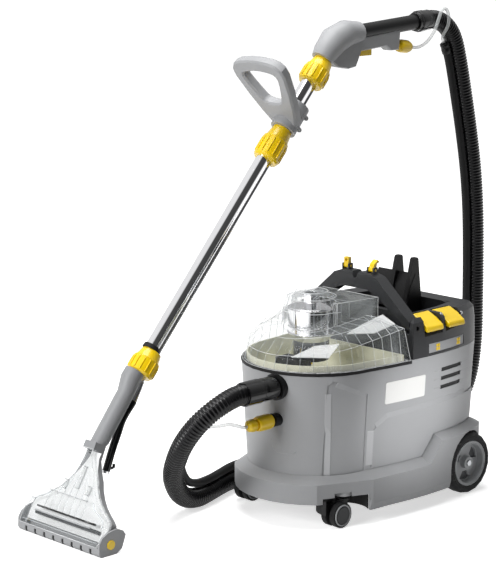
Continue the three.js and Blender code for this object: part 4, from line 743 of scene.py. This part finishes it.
# blank label plate on the near side, rounded and bowed like the wall
LABEL_X, LABEL_Z = -51.5, 225
LABEL_WIDTH, LABEL_HEIGHT = 105.5, 43
LABEL_CORNER = 3
rows = (0, 0.5, 1.4, 3, 12, 21.5, 31, 40, 41.6, 42.5, 43)
wide = 9  # corners to a row
corners = []
for proud in (1.1, -1.0):
    for row in rows:
        edge = min(row, LABEL_HEIGHT - row, LABEL_CORNER)
        inset = LABEL_CORNER - math.sqrt(LABEL_CORNER ** 2 - (LABEL_CORNER - edge) ** 2)
        for k in range(wide):
            x = LABEL_X + inset + (LABEL_WIDTH - 2 * inset) * k / (wide - 1)
            spot = from_side("main_housing", -1, x, LABEL_Z + row)
            corners.append((spot.x, spot.y - proud, spot.z))
count = len(rows) * wide
faces = []
for k in range(len(rows) - 1):
    for a in range(k * wide, k * wide + wide - 1):
        b = a + wide
        faces += [(a, a + 1, b + 1, b), (count + b, count + b + 1, count + a + 1, count + a)]
rim = list(range(wide)) + [k * wide + wide - 1 for k in range(1, len(rows))]
rim += [(len(rows) - 1) * wide + j for j in range(wide - 2, -1, -1)]
rim += [k * wide for k in range(len(rows) - 2, 0, -1)]
for a, b in zip(rim, rim[1:] + rim[:1]):
    faces.append((a, b, b + count, a + count))
mesh_piece("label_plate", "machine", corners, faces, WHITE, bevel=0.3)

# vents: a near-black sheet of painted shade behind the slots, and a thin line that runs on from
# each
for side, tag in SIDES:
    for k, z in enumerate((229, 247, 265)):
        corners = []
        for x in (101, 118, 136, 154, 173):
            spot = from_side("main_housing", side, x, z + 13)
            for out, up in ((-2.4, -1), (-2.4, 9), (-4.4, 9), (-4.4, -1)):
                corners.append((x, spot.y + side * out, z + up))
        mesh_piece(f"vent_painted_shade_{tag}_{k + 1}", "machine", corners, loft_faces(5, 4), SHADOW)
        for part, (x0, x1) in enumerate(((83, 101.5), (172.5, 205))):
            points = []
            for j in range(6):
                x = x0 + (x1 - x0) * j / 5
                spot = from_side("main_housing", side, x, z + 4)
                points.append((x, spot.y - side * 0.35, z + 4 + (x - 83) * 0.02))
            bead(f"vent_groove_{tag}_{k + 1}_{part + 1}", "machine", points, 0.8, DARK_GREY, 6)

# pale U-shaped line under the spray port
points = []
for y, z in ((14, 186), (14, 176), (11, 166), (2, 161), (-12, 160), (-26, 161), (-34, 165)):
    spot, _ = cast("main_housing", (-500, y - 30, z - 20), (0, y - 30, z - 20))
    points.append((spot.x + 0.2, spot.y, spot.z))
bead("nose_rib", "machine", points, 0.8, PALE_GREY, 6)

# casters: pale rim ring and dark cap on both faces, and a near-black wall of painted shade in the
# well behind them, clear of their swing
CASTER_HALF = 17.2
CAP_PROFILE = ((-2, 17.4), (0.8, 17.4), (1.5, 16), (1.5, 0.1))
WELL_SECTION = ((51, 56), (51, 28), (49.5, 28), (49.5, 56))  # (radius, height)
WELL_START, WELL_TURN, WELL_STEPS = -34, 219, 24
for side, tag in SIDES:
    for out in (-1, 1):
        middle = (CASTER_X, side * CASTER_Y + out * CASTER_HALF, CASTER_Z)
        where = f"{tag}_{'outer' if out == side else 'inner'}"
        roller = f"caster_roller_{tag}"
        ring_bead(f"caster_rim_{where}", roller, middle, (0, 1, 0), 19.5, 1.5, PALE_GREY)
        disc(f"caster_cap_{where}", roller, middle, (0, out, 0), CAP_PROFILE, CHARCOAL)
    corners = []
    for reach, height in WELL_SECTION:
        for k in range(WELL_STEPS + 1):
            turn = math.radians(WELL_START + WELL_TURN * k / WELL_STEPS)
            x, y = STEM_X + reach * math.cos(turn), side * (CASTER_Y - reach * math.sin(turn))
            corners.append((x, y, height))
    faces = wall_faces(len(WELL_SECTION), WELL_STEPS + 1)
    mesh_piece(f"caster_well_painted_shade_{tag}", "machine", corners, faces, SHADOW)

# rear wheels: ring on the tyre's wall, pale rim ring, and a plate deep in the hub, its dark grey
# painted shade in the windows
WHEEL_RINGS = (  # (piece, CAD node, cast at this radius, ring's radius, bar's radius, finish)
    ("wall", "rear_tyre_", 56, 52.5, 0.9, TYRE), ("rim", "rear_hub_", 44, 44.5, 1.6, PALE_GREY),
)
HUB_PLATE = ((-4.2, 38.6), (-2.3, 38.6))
for side, tag in SIDES:
    wheel = f"rear_wheel_{tag}"
    for label, node, met, ring_r, radius, finish in WHEEL_RINGS:
        y = from_side(node + tag, side, REAR_AXLE_X + met, REAR_AXLE_Z).y
        middle = (REAR_AXLE_X, y, REAR_AXLE_Z)
        ring_bead(f"wheel_{label}_{tag}", wheel, middle, (0, 1, 0), ring_r, radius, finish, 72)
    low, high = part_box("rear_hub_" + tag)
    middle = (REAR_AXLE_X, (low[1] + high[1]) / 2 / MM - SHIFT_Y, REAR_AXLE_Z)
    disc(f"wheel_back_{tag}", wheel, middle, (0, side, 0), HUB_PLATE, HUB_BACK_SHADE)

# clear parts: white bars along the creases, a painted highlight, and ribs in a paler clear, partly
# painted highlight
CREASE_DEGREES = 24
CREASE_LEAST = 1.5
CREASE_SIDES = 6


def crease_highlight_bars(name, node, body, radius):
    """Thin white bars along the sharp outer edges of a CAD node: a painted highlight."""
    piece = nodes[node]
    work = bmesh.new()
    work.from_mesh(piece.data)
    work.transform(piece.matrix_world)
    bmesh.ops.remove_doubles(work, verts=work.verts, dist=0.00003)
    flat = math.radians(2)
    bmesh.ops.dissolve_limit(work, angle_limit=flat, verts=work.verts, edges=work.edges)
    corners, faces = [], []
    for edge in work.edges:
        if len(edge.link_faces) != 2 or not edge.is_convex:
            continue
        a, b = [machine_mm(v.co) for v in edge.verts]
        if edge.calc_face_angle(0) < math.radians(CREASE_DEGREES) or (b - a).length < CREASE_LEAST:
            continue
        along, u, v = across(b - a)
        first = [len(corners) + k for k in range(CREASE_SIDES)]
        last = [k + CREASE_SIDES for k in first]
        for end in (a - along * radius * 0.5, b + along * radius * 0.5):
            for k in range(CREASE_SIDES):
                turn = math.tau * k / CREASE_SIDES
                corners.append(end + (u * math.cos(turn) + v * math.sin(turn)) * radius)
        for k in range(CREASE_SIDES):
            n = (k + 1) % CREASE_SIDES
            faces.append((first[k], first[n], last[n], last[k]))
        faces += [tuple(first[::-1]), tuple(last)]
    work.free()
    return mesh_piece(name, body, corners, faces, CLEAR_EDGE_HIGHLIGHT, smooth=True)


def deck_height(x):
    return DECK_LOW + (x - DECK_FRONT_X) / DECK_LENGTH * (DECK_HIGH - DECK_LOW)


def on_round(middle_x, turn):
    """Far out, at a turn in degrees about an upright axis."""
    turn = math.radians(turn)
    return middle_x + FAR * math.cos(turn), FAR * math.sin(turn)


def rib_up(name, start, aim, heights, radius, finish, under_deck):
    """Bar that climbs the lid's outside along casts at rising heights."""
    points = []
    for z in heights:
        spot, normal = cast("tank_lid", (*start, z), (*aim, z))
        if under_deck and z > deck_height(spot.x) - 2:
            break
        points.append(tuple(spot - normal * 0.2))
    bead(name, "lid", points, radius, finish, 6)


crease_highlight_bars("lid_crease_highlights", "tank_lid", "lid", 0.55)
climb = [305 + 3 * k for k in range(30)]
for k in range(17):
    far = on_round(NOSE_X, 95 + 170 * k / 16)
    rib_up(f"lid_rib_nose_{k + 1}", far, (NOSE_X, 0), climb, 0.5, CLEAR_RIB_HIGHLIGHT, True)
for side, tag in SIDES:
    for k, x in enumerate((-78, -56, -34, -12)):
        rib_up(f"lid_rib_{tag}_{k + 1}", (x, side * FAR), (x, 0), climb, 0.6, CLEAR_EDGE_HIGHLIGHT, True)
climb = [364 + 4 * k for k in range(17)]
for k in range(18):
    far = on_round(DOME_X, 60 + 240 * k / 17)
    rib_up(f"dome_rib_{k + 1}", far, (DOME_X, 0), climb, 0.45, CLEAR_RIB_HIGHLIGHT, False)
for z, radius in ((398, 0.7), (422, 0.56)):
    starts = [(*on_round(DOME_X, 75 + 210 * k / 36), z) for k in range(37)]
    points = [tuple(cast("tank_lid", start, (DOME_X, 0, z))[0]) for start in starts]
    bead(f"dome_line_{z}", "lid", points, radius, CLEAR_EDGE_HIGHLIGHT, 6)

# pale sloping plates inside the lid, under the deck and above the filter
for name, thick, plate in (
    ("deck_plate", 1.6, ((-116, -104, 366), (-60, -92, 374), (2, -88, 383), (2, -121, 370),
                         (-60, -124, 362))),
    ("inner_plate", 1.4, ((-206, -46, 326), (-150, -54, 340), (-112, -82, 342), (-160, -100, 326))),
):
    corners = [(x, y, z + up) for up in (0, thick) for x, y, z in plate]
    mesh_piece(name, "lid", corners, loft_faces(2, len(plate)), FROSTED, bevel=0.3)

# cut-off chamber: three bright rings
for z, radius, size in ((353.5, 45.6, 1.6), (366, 45.2, 0.7), (401, 45.3, 1.4)):
    ring_bead(f"chamber_ring_{round(z)}", "lid", (DOME_X, 0, z), (0, 0, 1), radius, size, CHROME)

# panel: two groups of four yellow squares on the strip, and two screws
STRIP_Z = 317.5
SQUARE_WIDE, SQUARE_HIGH = 5, 6.2
for k, middle_x in enumerate((90, 157)):
    y = from_side("indicator_strip", -1, middle_x, STRIP_Z).y
    for part, (dx, dz) in enumerate(((-5.4, -6.6), (-5.4, 0.4), (0.4, -6.6), (0.4, 0.4))):
        x, z = middle_x + dx, STRIP_Z + dz
        low, high = (x, y - 0.7, z), (x + SQUARE_WIDE, y + 0.6, z + SQUARE_HIGH)
        block(f"indicator_{k + 1}_{part + 1}", "machine", low, high, YELLOW, 0.3)
SCREW_PROFILE = ((-1, 3.4), (1.0, 3.4), (1.7, 2.4), (1.7, 0.1))
for k, (x, y, z) in enumerate(((108, -134, 362), (172, -136, 361))):
    spot, normal = cast("control_panel", (x, y - 60, z + 82), (x, y, z))
    disc(f"panel_screw_{k + 1}", "machine", spot, normal, SCREW_PROFILE, STEEL, 24)

# wand: flutes and a line round each collar
WAND_TURN = math.radians(48.4)
ALONG = Vector((math.cos(WAND_TURN), 0, math.sin(WAND_TURN)))
ASIDE = Vector((math.sin(WAND_TURN), 0, -math.cos(WAND_TURN)))
FOOT = Vector((-360, 182, 327))
FLUTES = 14
# a flute's course: share of the collar's length, distance from its axis
FLUTE_COURSE = ((0.1, 26.3), (0.14, 27.2), (0.5, 27.2), (0.56, 26.6), (0.6, 25.6))
axis = FOOT + ASIDE * 6
for name, low, high in (("lower", -52, 0), ("middle", 456, 530), ("upper", 645, 704)):
    reach = high - low
    for k in range(FLUTES):
        turn = math.tau * (k + 0.5) / FLUTES
        out = ASIDE * math.cos(turn) + Vector((0, 1, 0)) * math.sin(turn)
        points = [tuple(axis + ALONG * (low + reach * f) + out * r) for f, r in FLUTE_COURSE]
        bead(f"{name}_collar_flute_{k + 1}", "machine", points, 1.5, YELLOW)
    rim = axis + ALONG * (low + reach * 0.63)
    ring_bead(f"{name}_collar_line", "machine", rim, ALONG, 26.0, 0.9, YELLOW)

# floor nozzle, on the fan's own slope: (out of its plane, sideways, up the slope)
FAN_TURN = math.radians(31)


def fan(x, y, z):
    return (
        -577 + x * math.cos(FAN_TURN) + z * math.sin(FAN_TURN), 168 + y,
        40 - x * math.sin(FAN_TURN) + z * math.cos(FAN_TURN),
    )


FAN_HALF = (  # (up the slope, half the width there)
    (-21, 114), (6, 114), (18, 112), (26, 101), (34, 87), (44, 72), (56, 58), (72, 44), (88, 34),
    (104, 25), (124, 16.5), (136, 16),
)
outline = [(half - 3, z) for z, half in FAN_HALF]
outline += [(3 - half, z) for z, half in reversed(FAN_HALF)]
mesh_piece(
    "fan_liner", "machine", [fan(x, y, z) for x in (-0.9, 0.25) for y, z in outline],
    loft_faces(2, len(outline)), LINER,
)
# white bars on the cover's creases: a painted highlight
crease_highlight_bars("cover_crease_highlights", "nozzle_cover", "machine", 0.7)
# ribs, end line and arcs on the cover in paler clear, partly a painted highlight
for k, y in enumerate((-46, -28, -10, 8, 26, 44, 62)):
    narrowing = 0.75 if abs(y) > 40 else 0.9
    course = ((8, 1), (30, 0.99), (60, narrowing), (84, 0.45))
    points = [fan(-14.3, y * f + 1, z) for z, f in course]
    bead(f"fan_rib_{k + 1}", "machine", points, 0.55, CLEAR_RIB_HIGHLIGHT, 6)
for name, x, z, radius, finish, ys in (
    ("cross_line", -14.6, 42, 0.8, PALE_GREY, (-44, -20, 0, 20, 45, 66)),
    ("end_line", -14.4, -25, 0.8, CLEAR_RIB_HIGHLIGHT, (-108, -60, 0, 60, 108)),
    ("bar_dark", -14.2, 6, 1.9, GLOSS_BLACK, (-88, -40, 0, 40, 82)),
    ("bar_pale", -14.2, -3, 1.6, PALE_GREY, (-78, -40, 0, 40, 84)),
):
    bead(f"fan_{name}", "machine", [fan(x, y, z) for y in ys], radius, finish)
ARC = ((108, 4), (104, 14), (94, 22), (80, 27), (68, 33), (60, 42))
for side, tag in SIDES:
    bead(f"fan_arc_{tag}", "machine", [fan(-14.2, side * y, z) for y, z in ARC], 1.5, CLEAR_RIB_HIGHLIGHT)
# dark notches across the nozzle: near-black painted shade
for k in range(8):
    y = 168 + (k - 3.5) * 27
    corners = [(x, y + dy, z) for x in (-603.8, -599.9) for dy, z in ((-5, 13), (5, 13), (1.5, 2))]
    mesh_piece(f"notch_painted_shade_{k + 1}", "machine", corners, loft_faces(2, 3), SHADOW)

# black pipe behind the nozzle's neck, with its hook
PIPE = [(-404, 182, 234), (-431, 182, 204), (-445, 182, 176), (-458, 182, 149), (-474, 182, 110)]
HOOK = [(-470, 182, 118), (-461, 182, 113), (-455, 182, 114), (-454, 182, 120)]
bead("neck_pipe", "machine", [tuple(p) for p in smooth_line(PIPE)], 7.6, GLOSS_BLACK, 18)
bead("neck_pipe_hook", "machine", HOOK, 3, GLOSS_BLACK, 10)

# ---- stage: white floor and world, three lamps --------------------------------------------------
ROOM_LIGHT = 0.2
FLOOR_GREY = 0.6  # the floor that lights the object from below
FLOOR_GLOW = 0.62  # the floor that is seen: its glow near the object, and its grey for shadows
FLOOR_SHADE = 0.85
FLOOR_HALF = 14
FADE = (0.5, 1.6)  # metres from the middle between which the glow grows to white
CARD = (0.7, 1.1)  # metres from the middle between which the dark card begins
CARD_GREY = 0.01
CARD_STOPS = ((0, 0), (0.08, 0), (0.12, 1), (0.33, 1), (0.4, 0), (1, 0))
HEIGHT_STOPS = ((0, 0.5), (0.1, 0.45), (0.3, 0.5), (0.6, 0.95), (1, 1))
SIDE_STOPS = ((0, 0.7), (0.06, 0.3), (0.2, 0.3), (0.3, 0.9), (0.5, 1), (0.9, 1), (1, 0.7))
GLOSSY_STOPS = (
    (0, 1), (0.1, 0.9), (0.15, 0.08), (0.34, 0.06), (0.41, 0.7), (0.5, 1), (0.62, 0.4),
    (0.72, 1), (1, 1),
)


def grey_ramp(tree, stops, source):
    """Greys over the source's 0 to 1: (position, grey) pairs."""
    made = add(tree, "ValToRGB")
    for stop, (position, value) in zip(made.color_ramp.elements, (stops[0], stops[-1])):
        stop.position = position
        stop.color = grey(value)
    for position, value in stops[1:-1]:
        made.color_ramp.elements.new(position).color = grey(value)
    tree.links.new(source, made.inputs[0])
    return made.outputs[0]


def round_about(tree, source):
    """0 to 1 for the turn about the upright axis."""
    made = add(tree, "TexGradient", gradient_type="RADIAL")
    tree.links.new(source, made.inputs["Vector"])
    return made.outputs[0]


def pick_shader(tree, share, first, second):
    """The first shader where share is 0, the second where it is 1."""
    made = add(tree, "MixShader")
    for source, socket in zip((share, first, second), made.inputs):
        tree.links.new(source, socket)
    return made.outputs[0]


def combine(tree, operation, first, second):
    made = add(tree, "Math", operation=operation)
    tree.links.new(first, made.inputs[0])
    tree.links.new(second, made.inputs[1])
    return made.outputs[0]


def white_rays(tree):
    """1 for the camera's rays and for those by metal and glass, 0 for the light on the object."""
    rays = add(tree, "LightPath")
    most = rays.outputs["Is Camera Ray"]
    for kind in ("Is Glossy Ray", "Is Transmission Ray"):
        most = combine(tree, "MAXIMUM", most, rays.outputs[kind])
    return most


def floor_paper():
    """White paper: plain to the room's light, glowing white to the camera and in reflections."""
    made = bpy.data.materials.new("floor_paper")
    tree = empty_tree(made)
    link = tree.links.new
    out = add(tree, "OutputMaterial")
    plain = add(tree, "BsdfDiffuse", {0: grey(FLOOR_GREY)})
    shade = add(tree, "BsdfDiffuse", {0: grey(FLOOR_SHADE)})
    glow = add(tree, "Emission")
    spot = add(tree, "TexCoord").outputs["Object"]
    away = add(tree, "VectorMath", operation="LENGTH")
    link(spot, away.inputs[0])
    fade = add(tree, "MapRange", {
        "From Min": FADE[0], "From Max": FADE[1], "To Min": FLOOR_GLOW, "To Max": 1,
    }, interpolation_type="SMOOTHSTEP")
    link(away.outputs["Value"], fade.inputs["Value"])
    link(fade.outputs[0], glow.inputs[1])
    both = add(tree, "AddShader")
    link(shade.outputs[0], both.inputs[0])
    link(glow.outputs[0], both.inputs[1])
    paper = pick_shader(tree, white_rays(tree), plain.outputs[0], both.outputs[0])
    # a dark card, seen only in bright metal: it draws the streaks along tubes and the chamber
    sector = grey_ramp(tree, CARD_STOPS, round_about(tree, spot))
    beyond = add(tree, "MapRange", {"From Min": CARD[0], "From Max": CARD[1]})
    link(away.outputs["Value"], beyond.inputs["Value"])
    share = add(tree, "LightPath").outputs["Is Glossy Ray"]
    for value in (sector, beyond.outputs[0]):
        share = combine(tree, "MULTIPLY", share, value)
    card = add(tree, "BsdfDiffuse", {0: grey(CARD_GREY)})
    link(pick_shader(tree, share, paper, card.outputs[0]), out.inputs[0])
    return made


def make_floor():
    mesh = bpy.data.meshes.new("floor")
    work = bmesh.new()
    bmesh.ops.create_grid(work, x_segments=1, y_segments=1, size=FLOOR_HALF)
    work.to_mesh(mesh)
    work.free()
    floor = bpy.data.objects.new("floor", mesh)
    floor.data.materials.append(floor_paper())
    bpy.context.collection.objects.link(floor)
    floor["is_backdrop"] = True


def make_world():
    """A soft room for the object's light; white to the camera, white with dark cards in metal."""
    world = bpy.data.worlds.new("studio")
    tree = empty_tree(world)
    link = tree.links.new
    out = add(tree, "OutputWorld")
    seen = add(tree, "Background")
    room = add(tree, "Background", {1: ROOM_LIGHT})
    spot = add(tree, "TexCoord").outputs["Generated"]
    split = add(tree, "SeparateXYZ")
    link(spot, split.inputs[0])
    turn = round_about(tree, spot)
    both = add(tree, "Mix", {0: 1}, data_type="RGBA", blend_type="MULTIPLY")
    link(grey_ramp(tree, HEIGHT_STOPS, split.outputs["Z"]), both.inputs[MIX_A])
    link(grey_ramp(tree, SIDE_STOPS, turn), both.inputs[MIX_B])
    link(both.outputs[MIX_OUT], room.inputs[0])
    shown = add(tree, "Mix", {MIX_A: grey(1)}, data_type="RGBA")
    link(grey_ramp(tree, GLOSSY_STOPS, turn), shown.inputs[MIX_B])
    link(add(tree, "LightPath").outputs["Is Glossy Ray"], shown.inputs[0])
    link(shown.outputs[MIX_OUT], seen.inputs[0])
    picked = pick_shader(tree, white_rays(tree), room.outputs[0], seen.outputs[0])
    link(picked, out.inputs[0])
    bpy.context.scene.world = world


def hang_lamp(name, kind, spot, aim, watts, **settings):
    """A lamp at a place, aimed at another."""
    data = bpy.data.lights.new(name, kind)
    data.energy = watts
    for key, value in settings.items():
        setattr(data, key, value)
    lamp = bpy.data.objects.new(name, data)
    lamp.location = Vector(spot)
    lamp.rotation_mode = "QUATERNION"
    lamp.rotation_quaternion = (Vector(aim) - Vector(spot)).to_track_quat("-Z", "Y")
    bpy.context.collection.objects.link(lamp)


make_floor()
make_world()
for name, spot, size, watts in (
    ("left", (-2.9, 0.1, 1.6), 1.2, 66), ("top", (0.1, 0.3, 3.0), 2.0, 82),
):
    hang_lamp(name, "AREA", spot, (0, 0, 0.3), watts, shape="RECTANGLE", size=size, size_y=size)
hang_lamp(
    "side", "SPOT", (0.7, -2.2, 0.9), (0.1, -0.16, 0.19), 190,
    spot_size=math.radians(9.5), spot_blend=1, shadow_soft_size=0.06)
bpy.context.scene.view_settings.view_transform = "Standard"

# ---- sizes, and the end -----------------------------------------------------------------------
low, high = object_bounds()
